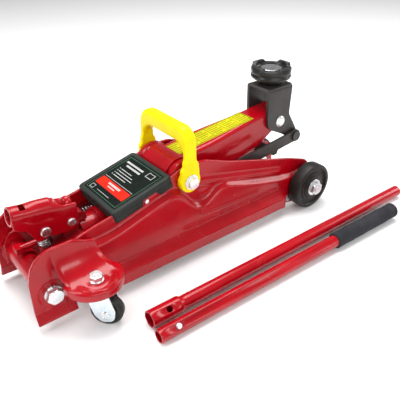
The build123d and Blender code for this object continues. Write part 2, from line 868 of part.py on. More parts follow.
with BuildPart() as saddle_rivet:
    disc(floor, yoke_top - 6, saddle_floor + 0.2 - yoke_top + 6, 8, (saddle_x, 0))
    disc(floor, saddle_floor + 0.2, 2.5, 14, (saddle_x, 0))
    disc(floor, yoke_top - 8, 2.8, 11, (saddle_x, 0))
saddle_rivet.part.label = "saddle_rivet"
export_step(saddle_rivet.part, "parts/saddle_rivet.step")

# --------------------------------------------------------------- handle socket
socket_along = (-cos(radians(socket_angle)), 0, sin(radians(socket_angle)))
socket_start = (
    socket_mouth[0] + socket_length * cos(radians(socket_angle)),
    socket_mouth[1] - socket_length * sin(radians(socket_angle)),
)
socket_axis = Plane(
    (datum_x + socket_start[0], datum_y, socket_start[1]), x_dir=(0, 1, 0), z_dir=socket_along
)
socket_side = Plane(
    (datum_x + socket_mouth[0], datum_y, socket_mouth[1]),
    x_dir=(cos(radians(socket_angle)), 0, -sin(radians(socket_angle))),
    z_dir=(0, -1, 0),
)
with BuildPart() as handle_socket:
    disc(socket_axis, 0, socket_length, socket_outer)
    slab(
        side,
        -socket_outer,
        2 * socket_outer,
        [
            (-402, 108),
            (-402, 101),
            (-387, 91),
            (-380, 80),
            (-364, 78),
            (-335, 78),
            (-333, 86),
            (-334, 107),
        ],
    )
    disc(socket_axis, -5, socket_length + 10, socket_bore, (0, 0), Mode.SUBTRACT)
    # the space between the cheeks, below the tube and in front of it
    slab(
        socket_side,
        -socket_bore,
        2 * socket_bore,
        [
            (-5, -socket_outer),
            (tube_length, -socket_outer),
            (tube_length, 0),
            (socket_length + 10, 0),
            (socket_length + 10, -50),
            (-5, -50),
        ],
        Mode.SUBTRACT,
    )
    # the top wall in front of the closed tube is thinner
    disc(socket_axis, -1, socket_length - tube_length + 1, socket_bore + 0.7, (0, 0), Mode.SUBTRACT)
    # slot on top, near the mouth
    slab(
        socket_side,
        -slot_half,
        2 * slot_half,
        [
            (slot_rear, socket_bore / 2),
            (slot_rear + slot_width, socket_bore / 2),
            (slot_rear + slot_width, 14),
            (slot_rear, 14),
        ],
        Mode.SUBTRACT,
    )
    disc(side, -20, 40, 4 + seated, socket_pivot, Mode.SUBTRACT)
    disc(side, -20, 40, 4 + seated, pump_pin, Mode.SUBTRACT)
handle_socket.part.label = "handle_socket"
export_step(handle_socket.part, "parts/handle_socket.step")

with BuildPart() as socket_rivets:
    for point, head in ((socket_pivot, 5), (pump_pin, 6)):
        disc(side, -socket_outer, 2 * socket_outer, 4, point)
        for hand in hands.values():
            disc(side, hand * socket_outer, hand * 2.2, head, point)
socket_rivets.part.label = "socket_rivets"
export_step(socket_rivets.part, "parts/socket_rivets.step")

with BuildPart() as pump_roller_ring:
    ring(side, -8.2, 16.4, pump_roller, 4 + running, pump_pin)
pump_roller_ring.part.label = "pump_roller"
export_step(pump_roller_ring.part, "parts/pump_roller.step")

plunger_centre = (pump_pin[0], 0)
with BuildPart() as pump_plunger:
    disc(floor, plunger_bottom, plunger_top - plunger_bottom, plunger_radius, plunger_centre)
    disc(floor, plunger_top - collar_thick, collar_thick, 8, plunger_centre)
pump_plunger.part.label = "pump_plunger"
export_step(pump_plunger.part, "parts/pump_plunger.step")

with BuildPart() as pump_spring:
    spring_top = plunger_top - collar_thick
    ring(floor, boss_top, spring_top - boss_top, 7.6, 5.6, plunger_centre)
pump_spring.part.label = "pump_spring"
export_step(pump_spring.part, "parts/pump_spring.step")

with BuildPart() as release_valve:
    disc(cross, -394, 44, 4, valve_point)
    slab(floor, valve_point[1] - 3.5, 7, [(-400, 9.5), (-391, 9.5), (-391, 20.5), (-400, 20.5)])
release_valve.part.label = "release_valve"
export_step(release_valve.part, "parts/release_valve.step")

# --------------------------------------------------------------------- casters
with BuildPart() as caster_studs:
    for hand in hands.values():
        stud = (stud_x, -hand * stud_y)
        disc(floor, 42.8, ear_top + 9 - 42.8, stud_radius, stud)
        disc(floor, 39.4, 3.4, 7, stud)
caster_studs.part.label = "caster_studs"
export_step(caster_studs.part, "parts/caster_studs.step")

with BuildPart() as caster_nuts:
    for hand in hands.values():
        stud = (stud_x, -hand * stud_y)
        disc(floor, ear_top, 1.6, 7.8, stud)
        hexagon(floor, ear_top + 1.6, 5.5, 13, stud)
        disc(floor, 0, 100, stud_radius + seated, stud, Mode.SUBTRACT)
caster_nuts.part.label = "caster_nuts"
export_step(caster_nuts.part, "parts/caster_nuts.step")

with BuildPart() as caster_races:
    for hand in hands.values():
        start = fork_top + 0.3
        ring(floor, start, ear_top - bracket_sheet - start, 12, 5, (stud_x, -hand * stud_y))
caster_races.part.label = "caster_races"
export_step(caster_races.part, "parts/caster_races.step")

for name, hand in hands.items():
    turn = radians(caster_turn * hand)
    caster_side = Plane(
        (datum_x + stud_x, datum_y - hand * stud_y, 0),
        x_dir=(cos(turn), sin(turn), 0),
        z_dir=(sin(turn), -cos(turn), 0),
    )
    caster_plan = Plane((datum_x + stud_x, datum_y - hand * stud_y, 0))
    hub = (caster_trail, caster_radius)

    with BuildPart() as caster_fork:
        for way in (-1, 1):
            slab(
                caster_side,
                way * 8.4,
                way * 2.2,
                [(-12, 46), (12, 46), (20, 22), (19, 12), (11, 7), (3, 8), (-3, 14)],
            )
        disc(caster_plan, 43.2, 3, 14)
        disc(caster_plan, 46, fork_top - 46, 12)
        disc(caster_plan, 40, 20, stud_radius + running, (0, 0), Mode.SUBTRACT)
        disc(caster_side, -20, 40, 3 + seated, hub, Mode.SUBTRACT)
    caster_fork.part.label = f"caster_fork_{name}"
    export_step(caster_fork.part, f"parts/caster_fork_{name}.step")

    with BuildPart() as caster_rivet:
        disc(caster_side, -10.6, 21.2, 3, hub)
        for way in (-1, 1):
            disc(caster_side, way * 10.6, way * 1.6, 5, hub)
    caster_rivet.part.label = f"caster_rivet_{name}"
    export_step(caster_rivet.part, f"parts/caster_rivet_{name}.step")

    with BuildPart() as caster_wheel:
        disc(caster_side, -caster_width / 2, caster_width, caster_radius, hub)
        fillet(caster_wheel.edges().filter_by(GeomType.CIRCLE), 3)
        disc(caster_side, -20, 40, 3 + running, hub, Mode.SUBTRACT)
    caster_wheel.part.label = f"caster_wheel_{name}"
    export_step(caster_wheel.part, f"parts/caster_wheel_{name}.step")

# ----------------------------------------------------------------- handle rods
lower_drop = (swage_radius - rod_radius) / (lower_length - swage_length)
lower_start = (-316.0, -118.0, swage_radius + swage_length * lower_drop)
lower_axis = Plane(
    (datum_x + lower_start[0], datum_y + lower_start[1], lower_start[2]),
    x_dir=(-sin(lower_turn), cos(lower_turn), 0),
    z_dir=(cos(lower_turn), sin(lower_turn), -lower_drop),
)
with BuildPart() as handle_lower:
    disc(lower_axis, 0, swage_length, swage_radius)
    disc(lower_axis, 0, lower_length, rod_radius)
    disc(lower_axis, 0, swage_length, rod_socket_radius, (0, 0), Mode.SUBTRACT)
    disc(lower_axis, 0, lower_length + 1, rod_bore, (0, 0), Mode.SUBTRACT)
    # hole for the snap button, facing up and outwards
    button_plane = Plane(
        lower_axis.origin + lower_axis.z_dir * button_from_end,
        x_dir=lower_axis.z_dir,
        z_dir=(0, -sin(radians(40)), cos(radians(40))),
    )
    disc(button_plane, 0, 20, button_radius + 0.4, (0, 0), Mode.SUBTRACT)
    # notch in the front end that turns the release valve
    slab(
        Plane(lower_axis.origin, x_dir=lower_axis.z_dir, z_dir=(0, -1, 0)),
        -20,
        40,
        [
            (lower_length - 9, -2.5),
            (lower_length + 2, -2.5),
            (lower_length + 2, 2.5),
            (lower_length - 9, 2.5),
        ],
        Mode.SUBTRACT,
    )
handle_lower.part.label = "handle_lower"
export_step(handle_lower.part, "parts/handle_lower.step")

upper_rise = (grip_radius - rod_radius) / grip_start
upper_start = (-321.0, -142.0, rod_radius)
upper_axis = Plane(
    (datum_x + upper_start[0], datum_y + upper_start[1], upper_start[2]),
    x_dir=(-sin(upper_turn), cos(upper_turn), 0),
    z_dir=(cos(upper_turn), sin(upper_turn), upper_rise),
)
upper_button = Plane(
    upper_axis.origin + upper_axis.z_dir * button_from_end,
    x_dir=upper_axis.z_dir,
    z_dir=(0, -sin(radians(40)), cos(radians(40))),
)
with BuildPart() as handle_upper:
    disc(upper_axis, 0, upper_length - 2, rod_radius)
    disc(upper_axis, -1, upper_length + 1, rod_bore, (0, 0), Mode.SUBTRACT)
    disc(upper_button, 0, 20, button_radius + 0.3, (0, 0), Mode.SUBTRACT)
handle_upper.part.label = "handle_upper"
export_step(handle_upper.part, "parts/handle_upper.step")

with BuildPart() as foam_grip:
    disc(upper_axis, grip_start, upper_length - grip_start, grip_radius)
    fillet(foam_grip.edges().filter_by(GeomType.CIRCLE), 2)
    closed_end = 2
    bore_length = upper_length - closed_end - grip_start
    disc(upper_axis, grip_start, bore_length, rod_radius + seated, (0, 0), Mode.SUBTRACT)
foam_grip.part.label = "foam_grip"
export_step(foam_grip.part, "parts/foam_grip.step")

with BuildPart() as snap_button:
    disc(upper_button, 4, 6.6, button_radius)
    disc(upper_button, 3.2, 1.6, 4.2)
snap_button.part.label = "snap_button"
export_step(snap_button.part, "parts/snap_button.step")

with BuildPart() as snap_spring:
    slab(upper_button, -4.8, 0.8, [(-8, -2.4), (30, -2.4), (30, 2.4), (-8, 2.4)])
snap_spring.part.label = "snap_spring"
export_step(snap_spring.part, "parts/snap_spring.step")
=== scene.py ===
import json
from math import acos, atan2, cos, hypot, pi, radians, sin, sqrt, tan

import bmesh
import bpy
from mathutils import Matrix, Vector


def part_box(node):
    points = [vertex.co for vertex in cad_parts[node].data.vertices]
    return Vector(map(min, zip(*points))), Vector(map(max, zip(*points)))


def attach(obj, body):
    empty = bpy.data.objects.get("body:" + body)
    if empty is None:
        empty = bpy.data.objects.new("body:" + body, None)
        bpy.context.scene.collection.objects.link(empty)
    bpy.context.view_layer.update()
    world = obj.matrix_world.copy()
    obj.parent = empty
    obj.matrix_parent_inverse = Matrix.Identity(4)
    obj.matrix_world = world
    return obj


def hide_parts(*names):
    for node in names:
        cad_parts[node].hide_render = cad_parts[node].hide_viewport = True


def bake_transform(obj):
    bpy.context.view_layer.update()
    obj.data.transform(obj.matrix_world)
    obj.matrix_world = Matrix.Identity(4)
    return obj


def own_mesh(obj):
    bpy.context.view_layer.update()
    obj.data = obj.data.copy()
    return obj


# A trolley jack and its loose pump handle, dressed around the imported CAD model.
# Every piece below is drawn in millimetres from the point on the floor under the
# front axle: x forwards to the saddle, y to the left, z up. place() turns that
# into metres in the row frame.

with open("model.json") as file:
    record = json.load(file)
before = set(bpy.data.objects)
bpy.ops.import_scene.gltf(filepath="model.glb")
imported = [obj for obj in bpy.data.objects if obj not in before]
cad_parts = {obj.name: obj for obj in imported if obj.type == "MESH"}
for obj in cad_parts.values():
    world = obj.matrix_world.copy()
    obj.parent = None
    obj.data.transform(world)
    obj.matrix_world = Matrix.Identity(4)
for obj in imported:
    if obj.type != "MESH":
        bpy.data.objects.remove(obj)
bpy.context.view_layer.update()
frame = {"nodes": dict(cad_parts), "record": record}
nodes = frame["nodes"]

MM = 0.001
HANDS = {"right": -1, "left": 1}


def box_centre(node):
    """A CAD node's middle, in metres."""
    low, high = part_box(node)
    return (low + high) / 2


wheels_centre = (box_centre("front_wheel_right") + box_centre("front_wheel_left")) / 2
DATUM = Vector((wheels_centre.x, wheels_centre.y, 0))


def place(point):
    """A point in datum millimetres, as metres in the row frame."""
    return DATUM + MM * Vector(point)


def centre(node):
    """A CAD node's middle, in millimetres from the datum."""
    return (box_centre(node) - DATUM) / MM


def span(node):
    """A CAD node's lowest and highest corner, in millimetres from the datum."""
    low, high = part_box(node)
    return (low - DATUM) / MM, (high - DATUM) / MM


PIVOT = centre("main_shaft")
YOKE_RIVET = centre("yoke_rivet")
LINK_REAR = centre("link_pivot_bolts")
AXLE = centre("front_axle_bolts")
REAR_BOLT = centre("rear_tie_bolts")
ARM_DIRECTION = (YOKE_RIVET - PIVOT).normalized()

# ------------------------------------------------------------------- materials


def principled(name, colour, roughness, metallic=0.0):
    """A new node material, its nodes and links, and its main shader."""
    material = bpy.data.materials.new(name)
    material.use_nodes = True
    tree = material.node_tree
    shader = tree.nodes["Principled BSDF"]
    shader.inputs["Base Color"].default_value = (*colour, 1)
    shader.inputs["Roughness"].default_value = roughness
    shader.inputs["Metallic"].default_value = metallic
    return material, tree, shader


def noise(tree, scale, detail=3.0, stretch=(1, 1, 1)):
    """Noise in the piece's own metres, stretched along an axis if asked."""
    where = tree.nodes.new("ShaderNodeTexCoord")
    mapping = tree.nodes.new("ShaderNodeMapping")
    mapping.inputs["Scale"].default_value = stretch
    texture = tree.nodes.new("ShaderNodeTexNoise")
    texture.inputs["Scale"].default_value = scale
    texture.inputs["Detail"].default_value = detail
    tree.links.new(where.outputs["Object"], mapping.inputs["Vector"])
    tree.links.new(mapping.outputs["Vector"], texture.inputs["Vector"])
    return texture.outputs["Fac"]


def ramp(tree, value, low, high, colour_low, colour_high):
    """Blends two colours as a value goes from low to high."""
    node = tree.nodes.new("ShaderNodeValToRGB")
    node.color_ramp.elements[0].position = low
    node.color_ramp.elements[1].position = high
    node.color_ramp.elements[0].color = (*colour_low, 1)
    node.color_ramp.elements[1].color = (*colour_high, 1)
    tree.links.new(value, node.inputs["Fac"])
    return node.outputs["Color"]


def grey_ramp(tree, value, low, high, grey_low, grey_high):
    """Blends two greys, to drive a roughness."""
    return ramp(tree, value, low, high, (grey_low,) * 3, (grey_high,) * 3)


def bump(tree, shader, height, strength, distance, soft_edge=0.0):
    """Bumps the shader's normal, on edges rounded by soft_edge millimetres."""
    node = tree.nodes.new("ShaderNodeBump")
    node.inputs["Strength"].default_value = strength
    node.inputs["Distance"].default_value = distance * MM
    tree.links.new(height, node.inputs["Height"])
    if soft_edge:
        edge = tree.nodes.new("ShaderNodeBevel")
        edge.samples = 4
        edge.inputs["Radius"].default_value = soft_edge * MM
        tree.links.new(edge.outputs["Normal"], node.inputs["Normal"])
    tree.links.new(node.outputs["Normal"], shader.inputs["Normal"])


def gloss_paint(name, colour, deep, roughness=0.2, soft_edge=0.0):
    """Sprayed enamel: faint orange peel, slight cloudiness, a clear wet coat."""
    material, tree, shader = principled(name, colour, roughness)
    cloud = noise(tree, 28, 2)
    tree.links.new(ramp(tree, cloud, 0.3, 0.75, deep, colour), shader.inputs["Base Color"])
    haze = noise(tree, 90, 4)
    tree.links.new(grey_ramp(tree, haze, 0.35, 0.8, roughness, roughness + 0.1), shader.inputs["Roughness"])
    shader.inputs["Specular IOR Level"].default_value = 0.3
    shader.inputs["Coat Weight"].default_value = 0.16
    shader.inputs["Coat Roughness"].default_value = 0.05
    bump(tree, shader, noise(tree, 420, 2), 0.05, 0.25, soft_edge)
    return material


def satin_paint(name, colour, worn, soft_edge=0.0):
    """Thin black paint over steel, a little dusty and uneven."""
    material, tree, shader = principled(name, colour, 0.42)
    shader.inputs["Specular IOR Level"].default_value = 0.36
    tree.links.new(ramp(tree, noise(tree, 60, 5), 0.35, 0.8, colour, worn), shader.inputs["Base Color"])
    tree.links.new(grey_ramp(tree, noise(tree, 140, 4), 0.3, 0.8, 0.3, 0.5), shader.inputs["Roughness"])
    bump(tree, shader, noise(tree, 700, 3), 0.12, 0.2, soft_edge)
    return material


def plated(name, colour, tint, roughness, stretch=(1, 1, 1), soft_edge=0.4):
    """Zinc or bare steel: fine scratches, cloudy plating, softened edges."""
    material, tree, shader = principled(name, colour, roughness, 1.0)
    tree.links.new(ramp(tree, noise(tree, 160, 4), 0.3, 0.75, tint, colour), shader.inputs["Base Color"])
    scratch = noise(tree, 500, 4, stretch)
    tree.links.new(
        grey_ramp(tree, scratch, 0.3, 0.8, roughness * 0.7, roughness * 1.5), shader.inputs["Roughness"]
    )
    bump(tree, shader, scratch, 0.1, 0.15, soft_edge)
    return material


def moulded(name, colour, light, roughness, grain, depth, soft_edge=0.0, shine=0.5):
    """Moulded plastic or rubber with a fine grain."""
    material, tree, shader = principled(name, colour, roughness)
    shader.inputs["Specular IOR Level"].default_value = shine
    tree.links.new(ramp(tree, noise(tree, 45, 4), 0.3, 0.8, colour, light), shader.inputs["Base Color"])
    tree.links.new(
        grey_ramp(tree, noise(tree, 200, 3), 0.3, 0.8, roughness - 0.06, roughness + 0.08),
        shader.inputs["Roughness"],
    )
    bump(tree, shader, noise(tree, grain, 3), depth, 0.25, soft_edge)
    return material


RED = gloss_paint("red_enamel", (0.40, 0.0008, 0.007), (0.31, 0.0004, 0.005))
RED_CAD = gloss_paint("red_enamel_cad", (0.40, 0.0008, 0.007), (0.31, 0.0004, 0.005), soft_edge=0.8)
RED_DULL = gloss_paint("red_casting", (0.28, 0.002, 0.006), (0.18, 0.001, 0.004), 0.32, 0.8)
BLACK = satin_paint("black_paint", (0.024, 0.020, 0.019), (0.044, 0.038, 0.035))
BLACK_CAD = satin_paint("black_paint_cad", (0.028, 0.024, 0.022), (0.050, 0.044, 0.040), 0.6)
CAST = moulded("black_casting", (0.008, 0.008, 0.008), (0.020, 0.019, 0.018), 0.36, 900, 0.35, shine=0.4)
ZINC = plated("bright_zinc", (0.84, 0.85, 0.86), (0.70, 0.72, 0.74), 0.34)
THREAD = plated("thread_zinc", (0.84, 0.85, 0.86), (0.70, 0.72, 0.74), 0.34, soft_edge=0)
ZINC_SHEET = plated("blue_zinc", (0.78, 0.86, 0.90), (0.66, 0.74, 0.80), 0.30)
STEEL = plated("ground_steel", (0.56, 0.56, 0.57), (0.42, 0.42, 0.43), 0.28, (6, 1, 1))
SPRING = plated("spring_wire", (0.66, 0.66, 0.68), (0.46, 0.46, 0.48), 0.26, soft_edge=0)
BRONZE = plated("bronze", (0.55, 0.38, 0.18), (0.40, 0.26, 0.12), 0.32)
YELLOW = moulded("yellow_plastic", (0.86, 0.66, 0.0), (0.95, 0.78, 0.0), 0.4, 800, 0.08, shine=0.16)
COVER = moulded("cover_plastic", (0.015, 0.019, 0.017), (0.024, 0.029, 0.026), 0.5, 1100, 0.25, shine=0.22)
TYRE = moulded("wheel_plastic", (0.010, 0.009, 0.008), (0.020, 0.018, 0.016), 0.45, 700, 0.3, shine=0.28)
FOAM = moulded("grip_foam", (0.013, 0.013, 0.017), (0.028, 0.028, 0.034), 0.8, 1500, 0.9, shine=0.25)
SEAL = moulded("seal_rubber", (0.012, 0.012, 0.012), (0.02, 0.02, 0.02), 0.5, 900, 0.2)

# What repeats for many pieces: material, body, slot and, for some, the node they stand for
FRAME_RED = (RED, "frame", "red_paint")
FRAME_ZINC = (ZINC, "frame", "zinc_steel")
ARM_RED = (RED, "lift_arm", "red_paint", ["lift_arm"])
SOCKET_CUTTER = (RED, "handle_socket", "red_paint")
SOCKET_RED = (*SOCKET_CUTTER, ["handle_socket"])
HANDLE_YELLOW = (YELLOW, "carry_handle", "yellow_plastic", ["carry_handle"])

SLOT_MATERIALS = {
    "red_paint": RED_CAD,
    "black_paint": BLACK_CAD,
    "cast_black": CAST,
    "zinc_steel": ZINC,
    "zinc_sheet": ZINC_SHEET,
    "machined_steel": STEEL,
    "bronze": BRONZE,
    "spring_steel": SPRING,
    "yellow_plastic": YELLOW,
    "cover_plastic": COVER,
    "wheel_black": TYRE,
    "foam": FOAM,
    "seal_rubber": SEAL,
}

for part in frame["record"]["subparts"]:
    mesh = nodes[part["node"]].data
    mesh.materials.clear()
    mesh.materials.append(SLOT_MATERIALS[part["material_slot"]])
for name in ("pump_block", "tank_nut"):
    nodes[name].data.materials[0] = RED_DULL
nodes["link_pins"].data.materials[0] = BLACK_CAD

# ---------------------------------------------------------------- mesh helpers


def piece(name, points, faces, material, body, hides=(), sharp=38, closed=False):
    """A mesh in datum millimetres that rides a body and stands for CAD nodes."""
    mesh = bpy.data.meshes.new(name)
    mesh.from_pydata([place(point) for point in points], [], faces)
    mesh.validate()
    mesh.update()
    if closed:
        shape = bmesh.new()
        shape.from_mesh(mesh)
        bmesh.ops.recalc_face_normals(shape, faces=shape.faces)
        shape.to_mesh(mesh)
        shape.free()
    mesh.materials.append(material)
    mesh.shade_smooth()
    mesh.set_sharp_from_angle(angle=radians(sharp))
    obj = bpy.data.objects.new(name, mesh)
    bpy.context.scene.collection.objects.link(obj)
    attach(obj, body)
    if hides:
        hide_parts(*hides)
    return obj


def freeze(obj):
    """Applies the piece's modifiers to its mesh."""
    graph = bpy.context.evaluated_depsgraph_get()
    graph.update()
    final = bpy.data.meshes.new_from_object(obj.evaluated_get(graph))
    obj.modifiers.clear()
    obj.data = final
    return obj


def soften(obj, width, segments=3, angle=35):
    """Rounds the piece's hard edges."""
    rounder = obj.modifiers.new("round", "BEVEL")
    rounder.width = width * MM
    rounder.segments = segments
    rounder.limit_method = "ANGLE"
    rounder.angle_limit = radians(angle)
    rounder.harden_normals = True
    return freeze(obj)


def thicken(obj, thickness):
    """Gives a one-sided sheet its thickness, inwards."""
    wall = obj.modifiers.new("wall", "SOLIDIFY")
    wall.thickness = thickness * MM
    wall.offset = -1
    wall.use_even_offset = False
    return freeze(obj)


def grid_faces(rows, columns, closed=False):
    """Quads that join a grid of points, closed round its columns if asked."""
    faces = []
    for row in range(rows - 1):
        for column in range(columns if closed else columns - 1):
            right = (column + 1) % columns
            faces.append(
                (
                    row * columns + column,
                    row * columns + right,
                    (row + 1) * columns + right,
                    (row + 1) * columns + column,
                )
            )
    return faces


def grid(name, rows, material, body, slot, hides=(), closed=False, caps=False, sharp=38):
    """A piece from rows of points; caps close the first and the last row."""
    count = len(rows[0])
    points = [point for row in rows for point in row]
    faces = grid_faces(len(rows), count, closed)
    if caps:
        faces.append(tuple(reversed(range(count))))
        faces.append(tuple(range((len(rows) - 1) * count, len(rows) * count)))
    return piece(name, points, faces, material, body, hides, sharp, closed=caps)


def frame_axes(axis):
    """Two directions square to an axis and to each other."""
    axis = Vector(axis).normalized()
    guess = Vector((0, 0, 1)) if abs(axis.z) < 0.9 else Vector((1, 0, 0))
    side = guess.cross(axis).normalized()
    return axis, side, axis.cross(side)


def turned(name, start, axis, profile, material, body, slot, hides=(), steps=64, sharp=38, wave=None):
    """A lathe piece: profile points are (distance along the axis, radius)."""
    axis, side, up = frame_axes(axis)
    rows = []
    for along, radius in profile:
        row = []
        for step in range(steps):
            turn = 2 * pi * step / steps
            extra_along, extra_radius = wave(turn, along, radius) if wave else (0, 0)
            spoke = (cos(turn) * side + sin(turn) * up) * (radius + extra_radius)
            row.append(Vector(start) + axis * (along + extra_along) + spoke)
        rows.append(row)
    closed_loop = profile[0] == profile[-1]
    if closed_loop:
        rows.pop()
        points = [point for row in rows for point in row]
        faces = grid_faces(len(rows), steps, True)
        last = (len(rows) - 1) * steps
        for step in range(steps):
            right = (step + 1) % steps
            faces.append((last + step, last + right, right, step))
        return piece(name, points, faces, material, body, hides, sharp, closed=True)
    return grid(name, rows, material, body, slot, hides, closed=True, caps=True, sharp=sharp)


def rounded(corners, steps=6):
    """An outline from (x, z, corner radius) points, with each corner as an arc."""
    outline = []
    count = len(corners)
    for index, (x, z, radius) in enumerate(corners):
        here = Vector((x, z))
        before = (Vector(corners[index - 1][:2]) - here).normalized()
        after = (Vector(corners[(index + 1) % count][:2]) - here).normalized()
        if radius <= 0:
            outline.append((x, z))
            continue
        half = acos(max(-1, min(1, before.dot(after)))) / 2
        reach = radius / tan(half)
        middle = here + (before + after).normalized() * radius / sin(half)
        first = here + before * reach - middle
        last = here + after * reach - middle
        turn = atan2(first.x * last.y - first.y * last.x, first.dot(last))
        for step in range(steps + 1):
            angle = turn * step / steps
            spoke = Vector(
                (first.x * cos(angle) - first.y * sin(angle), first.x * sin(angle) + first.y * cos(angle))
            )
            outline.append(tuple(middle + spoke))
    return outline


def smooth(value):
    """0 below 0, 1 above 1, an S-curve between."""
    value = max(0.0, min(1.0, value))
    return value * value * (3 - 2 * value)


def along_curve(points, x):
    """Height at x of the straight line through (x, z) points."""
    if x <= points[0][0]:
        return points[0][1]
    for (x0, z0), (x1, z1) in zip(points, points[1:]):
        if x <= x1:
            return z0 + (z1 - z0) * (x - x0) / (x1 - x0)
    return points[-1][1]


def mellow(points, x, reach=5):
    """The same line with its corners rounded over some millimetres."""
    taps = range(-2, 3)
    return sum(along_curve(points, x + reach * tap) for tap in taps) / len(taps)


def outward(obj, direction):
    """Turns a one-sided sheet so that its faces look in a direction overall."""
    total = sum((face.normal * face.area for face in obj.data.polygons), Vector())
    if total.dot(Vector(direction)) < 0:
        obj.data.flip_normals()
    return obj


def cut(obj, *cutters):
    """Takes cutters away from a piece, and deletes them."""
    for cutter in cutters:
        knife = obj.modifiers.new("cut", "BOOLEAN")
        knife.operation = "DIFFERENCE"
        knife.solver = "EXACT"
        knife.object = cutter
    freeze(obj)
    for cutter in cutters:
        bpy.data.objects.remove(cutter)
    return obj


def prism(name, outline, near, far, where, material, body, slot, hides=(), round_edge=0.7, segments=3):
    """A straight piece: where(u, v, w) places its outline (u, v) from w near to w far."""
    count = len(outline)
    points = [where(u, v, near) for u, v in outline] + [where(u, v, far) for u, v in outline]
    faces = [tuple(reversed(range(count))), tuple(range(count, 2 * count))]
    for step in range(count):
        right = (step + 1) % count
        faces.append((step, right, right + count, step + count))
    obj = piece(name, points, faces, material, body, hides, closed=True)
    return soften(obj, round_edge, segments) if round_edge else obj


def to_side(u, v, w):
    """An outline seen from the side: forwards, up and across."""
    return (u, w, v)


def to_arm(u, v, w):
    """Along the arm from its pivot, above it, and across."""
    up = Vector((-ARM_DIRECTION.z, 0, ARM_DIRECTION.x))
    return PIVOT + ARM_DIRECTION * u + up * v + Vector((0, w, 0))


def arc(centre_u, centre_v, radius, start, end, steps=8):
    """Points along an arc, from one angle to another in degrees."""
    angles = [radians(start + (end - start) * step / steps) for step in range(steps + 1)]
    return [(centre_u + radius * cos(angle), centre_v + radius * sin(angle)) for angle in angles]


# ----------------------------------------------------------------- side plates
SHEET = 3.0
UPPER_Y = 38.0
PAN_Y = 46.0
PLATE_TOP = [
    (-404, 50), (-400, 60), (-394, 68), (-384, 74), (-368, 80), (-334, 90), (-308, 95), (-228, 115),
    (-207, 124), (-176, 122), (-136, 107), (-102, 97), (-24, 75), (12, 62), (27, 36),
]
# Upper border of the wide lower pan
PAN_TOP = [
    (-404, 66), (-320, 70), (-305, 72), (-250, 88), (-228, 93), (-215, 88), (-200, 68),
    (-190, 61), (-178, 62), (-166, 70), (-157, 77), (-147, 78), (-94, 61), (-60, 53), (-30, 46),
]
FLANGE_REAR = -318
FLANGE_FRONT = -42


def beside(x, z, start, end, half_width):
    """1 on a line from start to end, easing to 0 at half_width from it."""
    line = Vector(end) - Vector(start)
    reach = max(0.0, min(1.0, (Vector((x, z)) - Vector(start)).dot(line) / line.length_squared))
    away = (Vector((x, z)) - Vector(start) - line * reach).length
    return smooth(1 - away / half_width)


def plate_y(x, z):
    """How far out the pressed side plate stands."""
    y = UPPER_Y + (PAN_Y - UPPER_Y) * smooth((mellow(PAN_TOP, x, 3) + 8 - z) / 8)
    y += 2.6 * beside(x, z, (-182, 95), (-45, 62), 8)
    y += 2.0 * beside(x, z, (-186, 55), (-93, 51), 4)
    y += 1.2 * beside(x, z, (-215, 44), (-60, 42), 2.5)
    y += 0.9 * beside(x, z, (LINK_REAR.x - 2, LINK_REAR.z), (LINK_REAR.x + 2, LINK_REAR.z), 12)
    y += 0.8 * beside(x, z, (-300, 88), (-232, 106), 5)
    flange = smooth((x - FLANGE_REAR) / 6) * smooth((FLANGE_FRONT + 3 - x) / 6)
    fold_bead = 1.3 * smooth(1 - abs(z - 27.5) / 3.2)
    return y + flange * (10 * max(0.0, min(1.0, (37 - z) / 11)) + fold_bead)


def plate_bottom(x):
    """Lower edge of the side plate, round at the axle."""
    if x > 0:
        return 33 - sqrt(max(0, 27**2 - x**2))
    return 12 - 6 * smooth((x + 60) / 60) + 16 * smooth((-370 - x) / 14)


for side_name, hand in HANDS.items():
    rows = []
    across = 62
    for column in range(174):
        x = -404 + 2.5 * column
        if x > 27:
            break
        low, high = plate_bottom(x), mellow(PLATE_TOP, x, 2)
        heights = [low + (high - low) * step / across for step in range(across + 1)]
        rows.append([(x, hand * plate_y(x, z), z) for z in heights])
    plate_piece = grid(f"side_pressing_{side_name}", rows, *FRAME_RED, [f"side_plate_{side_name}"], sharp=50)
    outward(plate_piece, (0, hand, 0))
    thicken(plate_piece, SHEET)

# ------------------------------------------------------------- caster brackets
BRACKET_Y = 49.5
EAR = (-350.0, 66.0)
EAR_TOP = 57.0
EAR_RADIUS = 33.0
STUD = (-351.0, 77.5)
WEB_TOP = [
    (-411, 60), (-409, 70), (-406, 79), (-401, 86), (-394, 91), (-386, 94), (-376, 94.5),
    (-375, 27), (-366, 21),
]


def web_y(x, z):
    """The bracket's upright web: turned-out foot and a pressing round the bolt."""
    y = BRACKET_Y + 5.5 * max(0.0, min(1.0, (22.5 - z) / 13))
    ring_radius = hypot(x - REAR_BOLT.x, z - REAR_BOLT.z)
    y -= 1.3 * smooth((17 - ring_radius) / 3) * smooth((z - 27) / 6)
    return y


